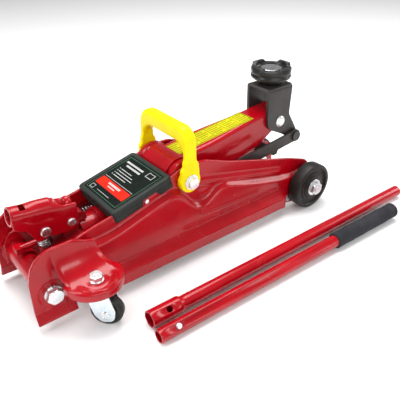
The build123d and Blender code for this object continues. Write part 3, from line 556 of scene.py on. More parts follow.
def sweep_row(share):
    """One line of the swept sheet, from the web's top out and over the ear's rim."""
    turn = radians(-90 + 180 * share)
    top = (-385 + 50 * share, BRACKET_Y, 94.5 - 9 * smooth((share - 0.45) / 0.55))
    spoke = (sin(turn), cos(turn))
    edge = (EAR[0] + 30 * spoke[0], EAR[1] + 30 * spoke[1])
    reach = edge[1] - top[1]
    width = min(30.0, reach)
    row = []
    for step in range(17):
        angle = pi / 2 * step / 16
        along = width * (1 - cos(angle)) / reach
        height = EAR_TOP + (top[2] - EAR_TOP) * (1 - sin(angle))
        drift = 0.45 * along + 0.55 * step / 16 * width / reach
        row.append((top[0] + (edge[0] - top[0]) * drift, top[1] + reach * along, height))
    start = row[-1]
    for step in range(1, 15):
        part = step / 14
        x = start[0] + (edge[0] - start[0]) * part
        y = start[1] + (edge[1] - start[1]) * part
        row.append((x, y, EAR_TOP))
    row = [(x, y, z + ear_relief(x, y, z)) for x, y, z in row]
    for step in range(1, 7):
        angle = pi / 2 * step / 6
        out = 30 + 3 * sin(angle)
        row.append((EAR[0] + out * spoke[0], EAR[1] + out * spoke[1], EAR_TOP - 3 * (1 - cos(angle))))
    for drop in (5, 8, 10):
        row.append((EAR[0] + EAR_RADIUS * spoke[0], EAR[1] + EAR_RADIUS * spoke[1], EAR_TOP - drop))
    return row


def ear_relief(x, y, z):
    """Pressed rings round the caster stud on the level part of the ear."""
    away = hypot(x - STUD[0], y - STUD[1])
    level = smooth(1 - (z - EAR_TOP) / 4)
    ridge = 1.5 * smooth(1 - abs(away - 20.5) / 3.2)
    groove = -0.9 * smooth(1 - abs(away - 14) / 3)
    outer_side = smooth((y - STUD[1] + 3) / 8)
    return level * outer_side * (ridge + groove)


for side_name, hand in HANDS.items():
    node = f"caster_bracket_{side_name}"
    rows = []
    for column in range(46):
        x = -411 + column
        high = along_curve(WEB_TOP, x)
        heights = [9 + (high - 9) * step / 56 for step in range(57)]
        rows.append([(x, hand * web_y(x, z), z) for z in heights])
    web = grid(f"bracket_web_{side_name}", rows, *FRAME_RED, [node], sharp=15)
    outward(web, (0, hand, 0))
    thicken(web, 3.4)
    rows = [[(x, hand * y, z) for x, y, z in sweep_row(step / 48)] for step in range(49)]
    ear = grid(f"bracket_ear_{side_name}", rows, *FRAME_RED, [node], sharp=60)
    outward(ear, (0, hand, 1))
    thicken(ear, 3)

# -------------------------------------------------------------------- lift arm
ARM_TOP = 19.0
ARM_BOTTOM = [(-2, -20), (10, -26), (24, -33), (60, -30), (136, -24), (162, -11), (180, -10), (186, -4)]
ARM_HALF = [(0, 22.3), (60, 22.3), (136, 16), (186, 16)]
ARM_ROUND = 5.0


def arm_section(along, inset=0.0):
    """One channel section of the arm, from its left lower edge over the top."""
    half = mellow(ARM_HALF, along, 4)
    top = ARM_TOP - 11 * smooth((along - 177) / 9)
    low = min(along_curve(ARM_BOTTOM, along), top - 8)
    rib = 1.1
    section = []
    for step in range(12):
        height = low + (top - ARM_ROUND - low) * step / 12
        press = rib * smooth(1 - abs(height + 6) / 9) * smooth((along - 30) / 12) * smooth((128 - along) / 12)
        section.append((half - press, height))
    section += arc(half - ARM_ROUND, top - ARM_ROUND, ARM_ROUND, 0, 90, 6)
    inner = [(half - ARM_ROUND - (half - ARM_ROUND) * step / 5, top) for step in range(1, 6)]
    section += inner
    mirrored = [(-across, height) for across, height in reversed(section[:-1])]
    return section + mirrored


rows = []
for step in range(94):
    along = -2 + 2 * step
    rows.append([to_arm(along, height, across) for across, height in arm_section(along)])
arm_body = grid("arm_channel", rows, *ARM_RED, sharp=50)
outward(arm_body, (0, 0, 1))
thicken(arm_body, 3.5)

DRUM = [
    (-34.4, 10), (-34.4, 21), (-33.8, 22.3), (-32.4, 22.5), (-29.5, 22.5), (-28, 20.6), (-24, 19.8),
    (-19, 20.4), (19, 20.4), (24, 19.8), (28, 20.6), (29.5, 22.5), (32.4, 22.5), (33.8, 22.3),
    (34.4, 21), (34.4, 10), (-34.4, 10),
]
turned("arm_drum", PIVOT, (0, 1, 0), DRUM, *ARM_RED, steps=72)
prism(
    "arm_saddle_plate", arc(0, 0, 22.4, 65, 175, 14) + arc(0, 0, 19, 175, 65, 14), -23.5, 23.5,
    to_arm, *ARM_RED, round_edge=0.6,
)
ROLLER = centre("lever_pin")
for side_name, hand in HANDS.items():
    lever = rounded(
        [
            (PIVOT.x - 16, PIVOT.z - 14, 0),
            (ROLLER.x - 4.5, ROLLER.z + 2, 3),
            (ROLLER.x - 3.5, ROLLER.z - 4.5, 3),
            (ROLLER.x + 4.5, ROLLER.z - 4.5, 3),
            (PIVOT.x + 18, PIVOT.z - 12, 0),
        ]
    )
    prism(f"lever_plate_{side_name}", lever, hand * 8.5, hand * 13.5, to_side, *ARM_RED)
    turned(
        f"nose_boss_{side_name}", YOKE_RIVET + Vector((0, hand * 10, 0)), (0, hand, 0),
        [(0, 8), (0, 9), (5.4, 9), (6, 8.4), (6, 5.6), (0, 5.6), (0, 8)], *ARM_RED,
    )


def strip(name, where, low, high, layers, material, body, slot):
    """A thin printed panel: where(u, v, w) lays it out and w lifts it off the surface."""
    outline = [(low[0], low[1]), (high[0], low[1]), (high[0], high[1]), (low[0], high[1])]
    return prism(name, outline, layers[0], layers[1], where, material, body, slot, round_edge=0)


def printed(name, where, marks, layers, material, body):
    """Many small printed rectangles in one piece."""
    points, faces = [], []
    for low, high in marks:
        first = len(points)
        for lift in layers:
            for u, v in ((low[0], low[1]), (high[0], low[1]), (high[0], high[1]), (low[0], high[1])):
                points.append(where(u, v, lift))
        faces += [tuple(first + i for i in quad) for quad in BOX_FACES]
    return piece(name, points, faces, material, body, closed=True)


BOX_FACES = [(3, 2, 1, 0), (4, 5, 6, 7), (0, 1, 5, 4), (1, 2, 6, 5), (2, 3, 7, 6), (3, 0, 4, 7)]


def frame_marks(low, high, line):
    """Four thin rectangles that outline a larger one."""
    return [
        ((low[0], low[1]), (high[0], low[1] + line)),
        ((low[0], high[1] - line), (high[0], high[1])),
        ((low[0], low[1] + line), (low[0] + line, high[1] - line)),
        ((high[0] - line, low[1] + line), (high[0], high[1] - line)),
    ]


def printed_material(name, colour, light, roughness=0.35, shine=0.3):
    """Ink or film on a label."""
    return moulded(name, colour, light, roughness, 1500, 0.04, shine=shine)


LABEL_YELLOW = printed_material("label_yellow", (0.44, 0.41, 0.0), (0.56, 0.52, 0.003), 0.4, 0.14)
LABEL_BLACK = printed_material("label_black", (0.003, 0.006, 0.005), (0.006, 0.010, 0.008), 0.3, 0.12)
LABEL_RED = printed_material("label_red", (0.50, 0.012, 0.003), (0.60, 0.018, 0.005), 0.4, 0.12)
LABEL_GREEN = printed_material("label_green", (0.035, 0.10, 0.055), (0.05, 0.13, 0.07))
LABEL_WHITE = printed_material("label_white", (0.34, 0.35, 0.34), (0.5, 0.52, 0.5))


def arm_label(u, v, w):
    """Along the top of the arm, across it and above it."""
    return to_arm(u, ARM_TOP + w, v)


strip(
    "arm_label_field", arm_label, (5, -14), (131, 14), (-0.2, 0.15), LABEL_YELLOW, "lift_arm",
    "yellow_plastic",
)
arm_rules = frame_marks((6, -13), (130, 13), 0.9)
for start, end in ((26, 26.5), (47, 47.5), (68, 68.5), (89, 89.5), (110, 110.5)):
    arm_rules.append(((start, -12), (end, 12)))
for block in range(6):
    for line in range(5):
        length = (16, 13, 17, 11, 15)[(line + block) % 5]
        start = 8 + 21 * block
        arm_rules.append(((start, -9.5 + 4.4 * line), (start + length, -8.7 + 4.4 * line)))
printed("arm_label_rules", arm_label, arm_rules, (0.1, 0.22), LABEL_BLACK, "lift_arm")

# ------------------------------------------------------------------ cover tray
COVER_REAR = Vector((-307.0, 0, 99.3))
COVER_TILT = radians(14.2)
COVER_LENGTH = 82.0
COVER_HALF = 40.6
COVER_SKIRT = 15.0
COVER_BORDER = 6.0


def to_cover(u, v, w):
    """Along the cover from its rear edge, across it and above it."""
    return COVER_REAR + Vector(
        (u * cos(COVER_TILT) - w * sin(COVER_TILT), v, u * sin(COVER_TILT) + w * cos(COVER_TILT))
    )


def cover_loop(inset, height, corner):
    """A rounded rectangle round the cover, some way in from its edge."""
    corner = max(corner, 0.3)
    low_u, high_u = inset, COVER_LENGTH - inset
    half = COVER_HALF - inset
    loop = arc(high_u - corner, half - corner, corner, 0, 90, 6)
    loop += arc(low_u + corner, half - corner, corner, 90, 180, 6)
    loop += arc(low_u + corner, -half + corner, corner, 180, 270, 6)
    loop += arc(high_u - corner, -half + corner, corner, 270, 360, 6)
    return [to_cover(u, v, height) for u, v in loop]


cover_loops = [
    cover_loop(2.6, -3, 2.5),
    cover_loop(2.6, -COVER_SKIRT, 2.5),
    cover_loop(0.3, -COVER_SKIRT, 4.6),
    cover_loop(0, -COVER_SKIRT + 0.4, 5),
    cover_loop(0, -9.2, 5),
    cover_loop(0.5, -8.6, 4.6),
    cover_loop(0.5, -8.0, 4.6),
    cover_loop(0, -7.4, 5),
    cover_loop(0, -2.2, 5),
    cover_loop(0.3, -1.1, 4.8),
    cover_loop(1.1, -0.3, 4.2),
    cover_loop(2.2, 0, 3.6),
    cover_loop(COVER_BORDER - 0.7, 0, 2.4),
    cover_loop(COVER_BORDER - 0.2, -0.25, 2.2),
    cover_loop(COVER_BORDER, -0.8, 2.0),
]
cover = grid(
    "cover_shell", cover_loops, COVER, "frame", "cover_plastic", ["cover_tray"], closed=True, caps=True,
    sharp=40,
)
notches = []
for side_name, hand in HANDS.items():
    notch = rounded([(36, -16, 0), (40, -7.5, 2), (58, -7.5, 2), (62, -16, 0)])
    notches.append(
        prism(
            f"notch_{side_name}", notch, hand * 37.7, hand * 42, lambda u, v, w: to_cover(u, w, v),
            COVER, "frame", "cover_plastic", round_edge=0,
        )
    )
cut(cover, *notches)

FIELD = (COVER_BORDER + 0.4, COVER_HALF - COVER_BORDER - 0.4)
PRINT = (-0.9, -0.62)
INK = (-0.7, -0.55)
strip(
    "cover_label_field", to_cover, (FIELD[0], -FIELD[1]), (COVER_LENGTH - FIELD[0], FIELD[1]), PRINT,
    LABEL_BLACK, "frame", "cover_plastic",
)
border_low = (FIELD[0] + 2, 2 - FIELD[1])
border_high = (COVER_LENGTH - FIELD[0] - 2, FIELD[1] - 2)
border = frame_marks(border_low, border_high, 0.7)
printed("cover_label_border", to_cover, border, INK, LABEL_GREEN, "frame")
printed("cover_label_band", to_cover, [((19, -29.5), (32, 29.5))], INK, LABEL_RED, "frame")
cover_marks = [((34, -29), (34.5, 29)), ((23, -6), (24.6, 8)), ((26.6, -12), (29.4, 12))]
cover_marks += [((12.4, -12), (13.0, 14))]
for line, length in enumerate((34, 28)):
    cover_marks.append(((64 - 5.2 * line, -6), (66.6 - 5.2 * line, -6 + length)))
for line, length in enumerate((22, 29, 33, 26)):
    cover_marks.append(((52 - 4 * line, 22 - length), (52.9 - 4 * line, 22)))
    cover_marks.append(((52 - 4 * line, 24), (53.2 - 4 * line, 25.4)))
cover_marks += frame_marks((62, -26), (70, -14), 0.8)
cover_marks += frame_marks((10, 21), (16, 28), 0.7)
printed("cover_label_print", to_cover, cover_marks, (-0.62, -0.5), LABEL_WHITE, "frame")
SCREW = centre("cover_screws")
for side_name, hand in HANDS.items():
    turned(
        f"cover_screw_{side_name}", (SCREW.x, hand * 38, SCREW.z), (0, hand, 0),
        [(0, 0.4), (0, 3.2), (0.6, 3.2), (1.6, 2.5), (2.2, 1.5), (2.4, 0.5)],
        *FRAME_ZINC, ["cover_screws"], steps=32,
    )

# ---------------------------------------------------------------- carry handle
HANDLE_INNER = 41.0
HANDLE_OUTER = 47.0
HANDLE_TOP = 172.0
HANDLE_LOW = 122.0


def arch_line(half, top, corner):
    """Half-width and height along the arch, from the right foot over to the left foot."""
    line = [(-half, HANDLE_LOW + (top - corner - HANDLE_LOW) * step / 8) for step in range(8)]
    line += arc(-half + corner, top - corner, corner, 180, 90, 12)
    line += [(-half + corner + 2 * (half - corner) * step / 10, top) for step in range(1, 10)]
    line += arc(half - corner, top - corner, corner, 90, 0, 12)
    line += [(half, top - corner - (top - corner - HANDLE_LOW) * step / 8) for step in range(1, 9)]
    return line


rows = []
outer_line = arch_line(HANDLE_OUTER, HANDLE_TOP, 16)
inner_line = arch_line(HANDLE_INNER, 153, 19)
for (outer_y, outer_z), (inner_y, inner_z) in zip(outer_line, inner_line):
    row = []
    for step in range(28):
        turn = 2 * pi * step / 28
        across = 8 * abs(cos(turn)) ** 0.5 * (1 if cos(turn) > 0 else -1)
        share = 0.5 + 0.5 * abs(sin(turn)) ** 0.5 * (1 if sin(turn) > 0 else -1)
        y = inner_y + (outer_y - inner_y) * share
        z = inner_z + (outer_z - inner_z) * share
        row.append((PIVOT.x + 0.5 + across, y, z))
    rows.append(row)
grid("handle_arch", rows, *HANDLE_YELLOW, closed=True, caps=True, sharp=60)
for side_name, hand in HANDS.items():
    leg = rounded(
        [
            (PIVOT.x - 13, PIVOT.z, 0), (PIVOT.x - 12.5, 122, 3), (PIVOT.x - 9.5, 126, 2),
            (PIVOT.x - 9, 132, 2), (PIVOT.x - 7.5, 136, 2), (PIVOT.x - 7, 146, 3), (PIVOT.x + 8, 146, 3),
            (PIVOT.x + 8.5, 132, 2), (PIVOT.x + 11.5, 127, 2), (PIVOT.x + 12.5, 118, 3),
            (PIVOT.x + 13, PIVOT.z, 0),
        ],
        4,
    )
    prism(
        f"handle_leg_{side_name}", leg, hand * HANDLE_INNER, hand * HANDLE_OUTER, to_side,
        *HANDLE_YELLOW, round_edge=1.6, segments=4,
    )
    turned(
        f"handle_boss_{side_name}", PIVOT + Vector((0, hand * 38.3, 0)), (0, hand, 0),
        [(0, 7.1), (0, 13.4), (0.6, 14), (7.0, 14), (8.3, 13.5), (8.9, 12.4), (8.9, 7.1), (0, 7.1)],
        *HANDLE_YELLOW,
    )

# ------------------------------------------------------------------- fasteners


def hex_points(radius, across, turn):
    """Radius of a hexagon's face in a direction, kept inside its chamfer circle."""
    sector = (turn % (pi / 3)) - pi / 6
    return min(radius, across / 2 / cos(sector))


def hexagon_head(name, start, axis, across, height, material, body, slot, hides=(), bore=0.0, spin=0.0):
    """A hexagon head or nut with its corners chamfered into a circle."""
    axis, side, up = frame_axes(axis)
    corner = across / 2 / cos(pi / 6)
    profile = [(0, corner * 0.93), (height * 0.08, corner), (height * 0.78, corner)]
    profile += [(height * 0.9, corner * 0.95), (height, across / 2 * 0.94)]
    profile += [(height, bore if bore else across / 2 * 0.55)]
    profile += [(0.2, bore)] if bore else [(height + 0.3, across / 2 * 0.3)]
    rows = []
    for along, radius in profile:
        row = []
        for step in range(72):
            turn = 2 * pi * step / 72
            reach = hex_points(radius, across, turn)
            spoke = cos(turn + spin) * side + sin(turn + spin) * up
            row.append(Vector(start) + axis * along + spoke * reach)
        rows.append(row)
    return grid(name, rows, material, body, slot, hides, closed=True, caps=True, sharp=24)


def washer(name, start, axis, outer, inner, thickness, material, body, slot, hides=()):
    """A flat washer with a slightly rounded rim."""
    edge = 0.3
    profile = [
        (0, inner), (0, outer - edge), (edge, outer), (thickness - edge, outer),
        (thickness, outer - edge), (thickness, inner), (0, inner),
    ]
    return turned(name, start, axis, profile, material, body, slot, hides, steps=48, sharp=30)


def thread_end(name, start, axis, radius, length, material, body, slot):
    """The stub of a threaded end: a few V-shaped grooves and a chamfered tip."""
    profile = [(-0.5, 0.3), (-0.5, radius)]
    pitch = 1.25
    count = max(1, int(length / pitch))
    for groove in range(count):
        at = pitch * groove
        profile += [(at + 0.2, radius), (at + pitch / 2, radius - 0.55), (at + pitch - 0.2, radius)]
    profile += [(length, radius - 0.8), (length, 0.3)]
    return turned(name, start, axis, profile, material, body, slot, steps=36, sharp=25)


def axle_point(hand, out):
    """A point on the front axle, some way out to one side."""
    return (AXLE.x, hand * out, AXLE.z)


for side_name, hand in HANDS.items():
    out = (0, hand, 0)
    wheel_low, wheel_high = span(f"front_wheel_{side_name}")
    face = wheel_high.y if hand > 0 else -wheel_low.y
    inner = wheel_low.y if hand > 0 else -wheel_high.y
    wheel_profile = [
        (0, 6.1), (0, 12), (0.6, 12.6), (1.5, 13), (1.8, 26), (0.4, 27.6), (0, 31), (0.6, 32.4),
        (2, 33), (face - inner - 2.2, 33), (face - inner - 0.8, 32.4), (face - inner, 30.8),
        (face - inner - 0.1, 27.9), (face - inner - 0.8, 27.2), (face - inner - 2.9, 26.6),
        (face - inner - 3.2, 25.8), (face - inner - 3.0, 21.5), (face - inner - 2.0, 20.9),
        (face - inner - 1.9, 17.2), (face - inner - 0.5, 16.4), (face - inner, 15.4),
        (face - inner, 6.1), (0, 6.1),
    ]
    turned(
        f"wheel_{side_name}", axle_point(hand, inner), out, wheel_profile, TYRE,
        f"front_wheel_{side_name}", "wheel_black", [f"front_wheel_{side_name}"], steps=96, sharp=32,
    )
    washer(
        f"axle_washer_{side_name}", axle_point(hand, face + 0.3), out, 12, 6.1, 1.6,
        *FRAME_ZINC, ["axle_washers"],
    )
    hexagon_head(
        f"axle_nut_{side_name}", axle_point(hand, face + 1.9), out, 17, 6,
        *FRAME_ZINC, ["axle_nuts"], bore=6.0, spin=0.3,
    )
    thread_end(
        f"axle_end_{side_name}", axle_point(hand, face + 6.5), out, 5.9, 3.05, THREAD, "frame",
        "zinc_steel",
    )
    washer(
        f"pivot_washer_{side_name}", (PIVOT.x, hand * 47.2, PIVOT.z), out, 9.4, 4.1, 1.5,
        *FRAME_ZINC, ["pivot_washers"],
    )
    hexagon_head(
        f"pivot_bolt_{side_name}", (PIVOT.x, hand * 48.7, PIVOT.z), out, 13, 5,
        *FRAME_ZINC, ["pivot_bolts"], spin=0.5,
    )
    hexagon_head(
        f"rear_bolt_{side_name}", (REAR_BOLT.x, hand * (BRACKET_Y + 3), REAR_BOLT.z), out, 17, 7,
        *FRAME_ZINC, ["rear_tie_bolts"], spin=0.2,
    )
    spring_washer = turned(
        f"spring_washer_{side_name}", (REAR_BOLT.x, hand * BRACKET_Y, REAR_BOLT.z), out,
        [(-1.3, 5.1), (-1.3, 9.6), (-1, 10), (2.6, 10), (3, 9.6), (3, 5.1), (-1.3, 5.1)],
        *FRAME_ZINC, ["rear_spring_washers"], sharp=30,
    )
    slit = prism(
        f"slit_{side_name}", [(-0.8, 4), (0.8, 4), (2.4, 12), (0.8, 12)], hand * 40, hand * 60,
        lambda u, v, w: (REAR_BOLT.x + u, w, REAR_BOLT.z + v), *FRAME_ZINC, round_edge=0,
    )
    cut(spring_washer, slit)
    stud = (STUD[0], hand * STUD[1])
    turned(
        f"caster_flange_{side_name}", (*stud, EAR_TOP), (0, 0, 1),
        [(0, 4.1), (0, 7.5), (0.4, 7.8), (1.2, 7.6), (1.6, 6.6), (1.6, 4.1), (0, 4.1)],
        *FRAME_ZINC, ["caster_nuts"], steps=48,
    )
    hexagon_head(
        f"caster_nut_{side_name}", (*stud, EAR_TOP + 1.6), (0, 0, 1), 13, 5.5,
        *FRAME_ZINC, ["caster_nuts"], bore=4.0, spin=0.4,
    )
    thread_end(
        f"caster_stud_{side_name}", (*stud, EAR_TOP + 6.4), (0, 0, 1), 3.95, 2.75, THREAD, "frame",
        "zinc_steel",
    )

# --------------------------------------------------------------------- casters
CASTER_TRAIL = 8.0
CASTER_RADIUS = 18.0
CASTER_TURN = 46.0
FORK_CHEEK = 8.4
for side_name, hand in HANDS.items():
    turn = radians(CASTER_TURN) * hand
    heading = Vector((cos(turn), sin(turn), 0))
    sideways = Vector((-sin(turn), cos(turn), 0))
    stud_foot = Vector((STUD[0], hand * STUD[1], 0))
    hub = stud_foot + heading * CASTER_TRAIL + Vector((0, 0, CASTER_RADIUS))
    turned(
        f"caster_tyre_{side_name}", hub - sideways * 7, sideways,
        [
            (0.4, 3.1), (0.4, 9), (1.0, 9.6), (1.0, 12.5), (0.4, 13.2), (0.2, 14.6), (0.9, 16.4),
            (2.6, 17.7), (4.5, 18), (9.5, 18), (11.4, 17.7), (13.1, 16.4), (13.8, 14.6), (13.6, 13.2),
            (13, 12.5), (13, 9.6), (13.6, 9), (13.6, 3.1), (0.4, 3.1),
        ],
        TYRE, f"caster_wheel_{side_name}", "wheel_black", [f"caster_wheel_{side_name}"], steps=80,
    )

    def to_fork(u, v, w, foot=stud_foot, ahead=heading, beside_it=sideways):
        return foot + ahead * u + beside_it * w + Vector((0, 0, v))

    cheek = rounded(
        [(-12.5, 46.5, 2), (12.5, 46.5, 2), (19.5, 24, 10), (17.5, 9.5, 8), (4, 7.5, 8), (-3.5, 16, 8)], 8
    )
    for way in (-1, 1):
        prism(
            f"fork_cheek_{side_name}_{'outer' if way > 0 else 'inner'}", cheek, way * FORK_CHEEK,
            way * (FORK_CHEEK + 2.2), to_fork, ZINC_SHEET, f"caster_{side_name}", "zinc_sheet",
            [f"caster_fork_{side_name}"], round_edge=0.8,
        )
        turned(
            f"caster_rivet_head_{side_name}_{'outer' if way > 0 else 'inner'}",
            hub + sideways * way * (FORK_CHEEK + 2.2), sideways * way,
            [
                (-1, 0.3), (-1, 4.6), (0, 5), (0.8, 4.7), (1.3, 4.0), (1.3, 3.4), (0.5, 2.9),
                (0.5, 2.2), (1.1, 1.8), (1.2, 0.4),
            ],
            ZINC, f"caster_{side_name}", "zinc_steel", [f"caster_rivet_{side_name}"], steps=40,
        )
    turned(
        f"fork_crown_{side_name}", stud_foot + Vector((0, 0, 43.2)), (0, 0, 1),
        [
            (0, 4.1), (0, 11), (1.2, 13.6), (2.8, 13.9), (3.2, 12.6), (3.4, 12.0),
            (5.8, 11.8), (6.4, 11.2), (6.4, 4.1), (0, 4.1),
        ],
        ZINC_SHEET, f"caster_{side_name}", "zinc_sheet", [f"caster_fork_{side_name}"], steps=64,
    )

# ----------------------------------------------------------------- handle rods
ROD = 8.0
ROD_BORE = 6.5
SWAGE = 10.0
SWAGE_BORE = 8.25
BUTTON_FROM_END = 22.0
BUTTON_UP = Vector((0, -sin(radians(40)), cos(radians(40))))


def rod_line(start, turn, drop=0.0):
    """Where a loose tube starts, and its direction on the floor."""
    return Vector(start), Vector((cos(radians(turn)), sin(radians(turn)), -drop)).normalized()


LOWER_LENGTH = 439.0
LOWER_DROP = (SWAGE - ROD) / (LOWER_LENGTH - 40)
lower_start, lower_way = rod_line((-316, -118, SWAGE + 40 * LOWER_DROP), -0.8, LOWER_DROP)
lower_rod = turned(
    "rod_lower", lower_start, lower_way,
    [
        (0, SWAGE_BORE), (0, 9.5), (0.5, 10), (37, 10), (38.6, 9.8), (40.6, 8.6), (42, 8.05), (44, 8),
        (LOWER_LENGTH - 0.5, 8), (LOWER_LENGTH, 7.5), (LOWER_LENGTH, ROD_BORE), (40, ROD_BORE),
        (38, SWAGE_BORE), (0, SWAGE_BORE),
    ],
    RED, "handle_lower", "red_paint", ["handle_lower"], steps=56, sharp=30,
)
UPPER_LENGTH = 389.0
GRIP_START = 268.0
GRIP = 10.5
UPPER_RISE = (GRIP - ROD) / GRIP_START
upper_start, upper_way = rod_line((-321, -142, ROD), -1.75, -UPPER_RISE)
upper_rod = turned(
    "rod_upper", upper_start, upper_way,
    [
        (0, ROD_BORE), (0, 7.5), (0.5, 8), (UPPER_LENGTH - 3, 8), (UPPER_LENGTH - 2.5, 7.5),
        (UPPER_LENGTH - 2.5, ROD_BORE), (0, ROD_BORE),
    ],
    RED, "handle_upper", "red_paint", ["handle_upper"], steps=56, sharp=30,
)
for rod, start, way, hole in (
    (lower_rod, lower_start, lower_way, 3.8),
    (upper_rod, upper_start, upper_way, 3.7),
):
    drill_profile = [(1, 0.1), (1, hole), (14, hole), (14, 0.1)]
    drill = turned("drill", start + way * BUTTON_FROM_END, BUTTON_UP, drill_profile, *FRAME_RED, steps=32)
    cut(rod, drill)


def ease_grip(turn, along, radius):
    """Foam squeezed a little unevenly between its round ends."""
    if not 3 < along < UPPER_LENGTH - GRIP_START - 3:
        return 0, 0
    return 0, -0.25 + 0.22 * sin(along * 0.21 + 2 * turn) * sin(along * 0.083)


GRIP_LENGTH = UPPER_LENGTH - GRIP_START
GRIP_END = 2.6
grip_profile = [(0.1, ROD + 0.02)]
grip_profile += arc(GRIP_END, GRIP - GRIP_END, GRIP_END, 180, 90, 7)
grip_profile += [(GRIP_END + (GRIP_LENGTH - 2 * GRIP_END) * step / 48, GRIP) for step in range(1, 48)]
grip_profile += arc(GRIP_LENGTH - GRIP_END, GRIP - GRIP_END, GRIP_END, 90, 0, 7)
grip_profile.append((GRIP_LENGTH - 0.3, 3.0))
grip = turned(
    "grip_foam", upper_start + upper_way * GRIP_START, upper_way, grip_profile, FOAM, "handle_upper",
    "foam", ["foam_grip"], steps=56, sharp=60, wave=ease_grip,
)
turned(
    "snap_button_cap", upper_start + upper_way * BUTTON_FROM_END, BUTTON_UP,
    [(3.4, 0.4), (3.4, 4.1), (4.6, 4.1), (4.8, 3.4), (8.4, 3.4), (9.7, 2.9), (10.4, 1.9), (10.6, 0.4)],
    ZINC, "snap_button", "zinc_steel", ["snap_button"], steps=40,
)

# -------------------------------------------------------------- yoke and saddle
YOKE_INNER = 16.5
YOKE_OUTER = 20.5
YOKE_TOP = 176.0
SADDLE_X = -35.0
SADDLE_FLOOR = 194.0
SADDLE_RIM = 197.5
LOBE_HEIGHT = 3.0
YOKE_REAR = [
    (91, -3), (95, -9), (103, -20), (107.5, -28), (112, -36), (115.5, -44), (119, -50), (124, -54),
    (130, -55.5), (140, -56), (176, -57),
]
YOKE_FRONT = [
    (91, -3), (92, 0.5), (94, 2.6), (98, 3.5), (103, 3.6), (107, 2.2), (120, -6), (134, -15), (176, -13),
]
yoke_line = [(YOKE_OUTER, 91 + 80 * (step / 40) ** 1.4) for step in range(41)]
yoke_line += arc(YOKE_OUTER - 5, YOKE_TOP - 5, 5, 9, 90, 7)
yoke_line += [(YOKE_OUTER - 5 - (YOKE_OUTER - 5) * step / 5, YOKE_TOP) for step in range(1, 6)]
yoke_line += [(-y, z) for y, z in reversed(yoke_line[:-1])]
rows = []
for y, z in yoke_line:
    rear, front = mellow(YOKE_REAR, z, 1.5), mellow(YOKE_FRONT, z, 1.5)
    rows.append([(rear + (front - rear) * step / 16, y, z) for step in range(17)])
yoke = grid("yoke_pressing", rows, BLACK, "saddle_yoke", "black_paint", ["saddle_yoke"], sharp=60)
outward(yoke, (0, 0, 1))
thicken(yoke, YOKE_OUTER - YOKE_INNER)
soften(yoke, 0.8, angle=60)
turned(
    "weld_bead", (SADDLE_X, 0, YOKE_TOP), (0, 0, 1),
    [(-0.4, 11.2), (0.24, 12.6), (0.2, 16.8), (-0.4, 18.6)], BLACK, "saddle_yoke", "black_paint", steps=96,
    wave=lambda turn, along, radius: (0, 0.3 * sin(34 * turn)),
)
for side_name, hand in HANDS.items():
    turned(
        f"yoke_rivet_head_{side_name}", YOKE_RIVET + Vector((0, hand * YOKE_OUTER, 0)), (0, hand, 0),
        [(-1, 0.3), (-1, 7.7), (0, 8), (0.9, 7.6), (1.8, 6.2), (2.2, 4.2), (2.2, 0.4)],
        ZINC, "saddle_yoke", "zinc_steel", ["yoke_rivet"], steps=48,
    )


def saddle_wave(turn, along, radius):
    """Four raised lobes with scalloped faces round the saddle's rim."""
    lobe = abs(((turn + pi / 4) % (pi / 2)) - pi / 4) / (pi / 4)
    raised = smooth((0.62 - lobe) / 0.22)
    top = LOBE_HEIGHT * raised if along > SADDLE_RIM - 0.9 else 0
    dent = 1.1 * (1 - raised) if radius > 26 and along > SADDLE_RIM - 8 else 0
    scallop = -0.9 * raised * smooth(1 - lobe / 0.5) if radius > 26 and along > SADDLE_RIM - 3 else 0
    return top, -dent + scallop


saddle_profile = [
    (YOKE_TOP + 0.3, 8.1), (YOKE_TOP + 0.3, 14), (177, 15), (179, 16.4), (181.6, 20.5), (183.6, 24),
    (184.6, 25.4), (186.4, 26.5), (188.2, 26.3), (189.0, 25.4), (190.2, 25.2), (191.0, 26.2),
    (192, 27.3), (194.5, 27.5), (196.2, 27.5), (SADDLE_RIM - 0.7, 27.4), (SADDLE_RIM - 0.2, 26.9),
    (SADDLE_RIM, 26.3), (SADDLE_RIM, 24), (SADDLE_RIM, 21.6), (SADDLE_RIM - 0.3, 21.0),
    (SADDLE_RIM - 1.4, 20.6), (195, 20.0), (SADDLE_FLOOR, 19.2), (SADDLE_FLOOR, 8.1),
    (YOKE_TOP + 0.3, 8.1),
]
turned(
    "saddle_casting", (SADDLE_X, 0, 0), (0, 0, 1), saddle_profile, CAST, "saddle", "cast_black",
    ["saddle_cup"], steps=160, sharp=45, wave=saddle_wave,
)
turned(
    "saddle_stud_head", (SADDLE_X, 0, SADDLE_FLOOR + 0.2), (0, 0, 1),
    [(0, 0.4), (0, 13.4), (0.6, 14), (1.9, 14), (2.5, 13.4), (2.5, 6), (2.4, 5.4), (2.4, 0.4)],
    STEEL, "saddle", "machined_steel", ["saddle_rivet"], steps=64,
)

# --------------------------------------------------------------- handle socket
SOCKET_TILT = radians(7.5)
MOUTH = Vector((-403.0, 0, 115.0))
SOCKET_LENGTH = 71.0
TUBE_LENGTH = 48.0
SOCKET_OUTER = 10.5
SOCKET_BORE = 8.5
SLOT_REAR = 10.5
SLOT_FRONT = 16.5
SLOT_HALF = 7.0
NOSE_MIDDLE = 63.5
NOSE_ALONG = 6.5
NOSE_ACROSS = 7.4
NOSE_LOW = -6.0
NOSE_RISE = 15.5
CHEEK_LOW = [
    (-403, 105), (-399, 101), (-390, 97), (-381, 80), (-377, 78.5), (-366, 82), (-360, 79), (-343, 78),
    (-338, 79.5), (-334.5, 83), (-332.4, 88),
]


def to_socket(u, v, w):
    """Into the socket from its mouth, above its axis, and across."""
    return MOUTH + Vector(
        (u * cos(SOCKET_TILT) + v * sin(SOCKET_TILT), w, -u * sin(SOCKET_TILT) + v * cos(SOCKET_TILT))
    )


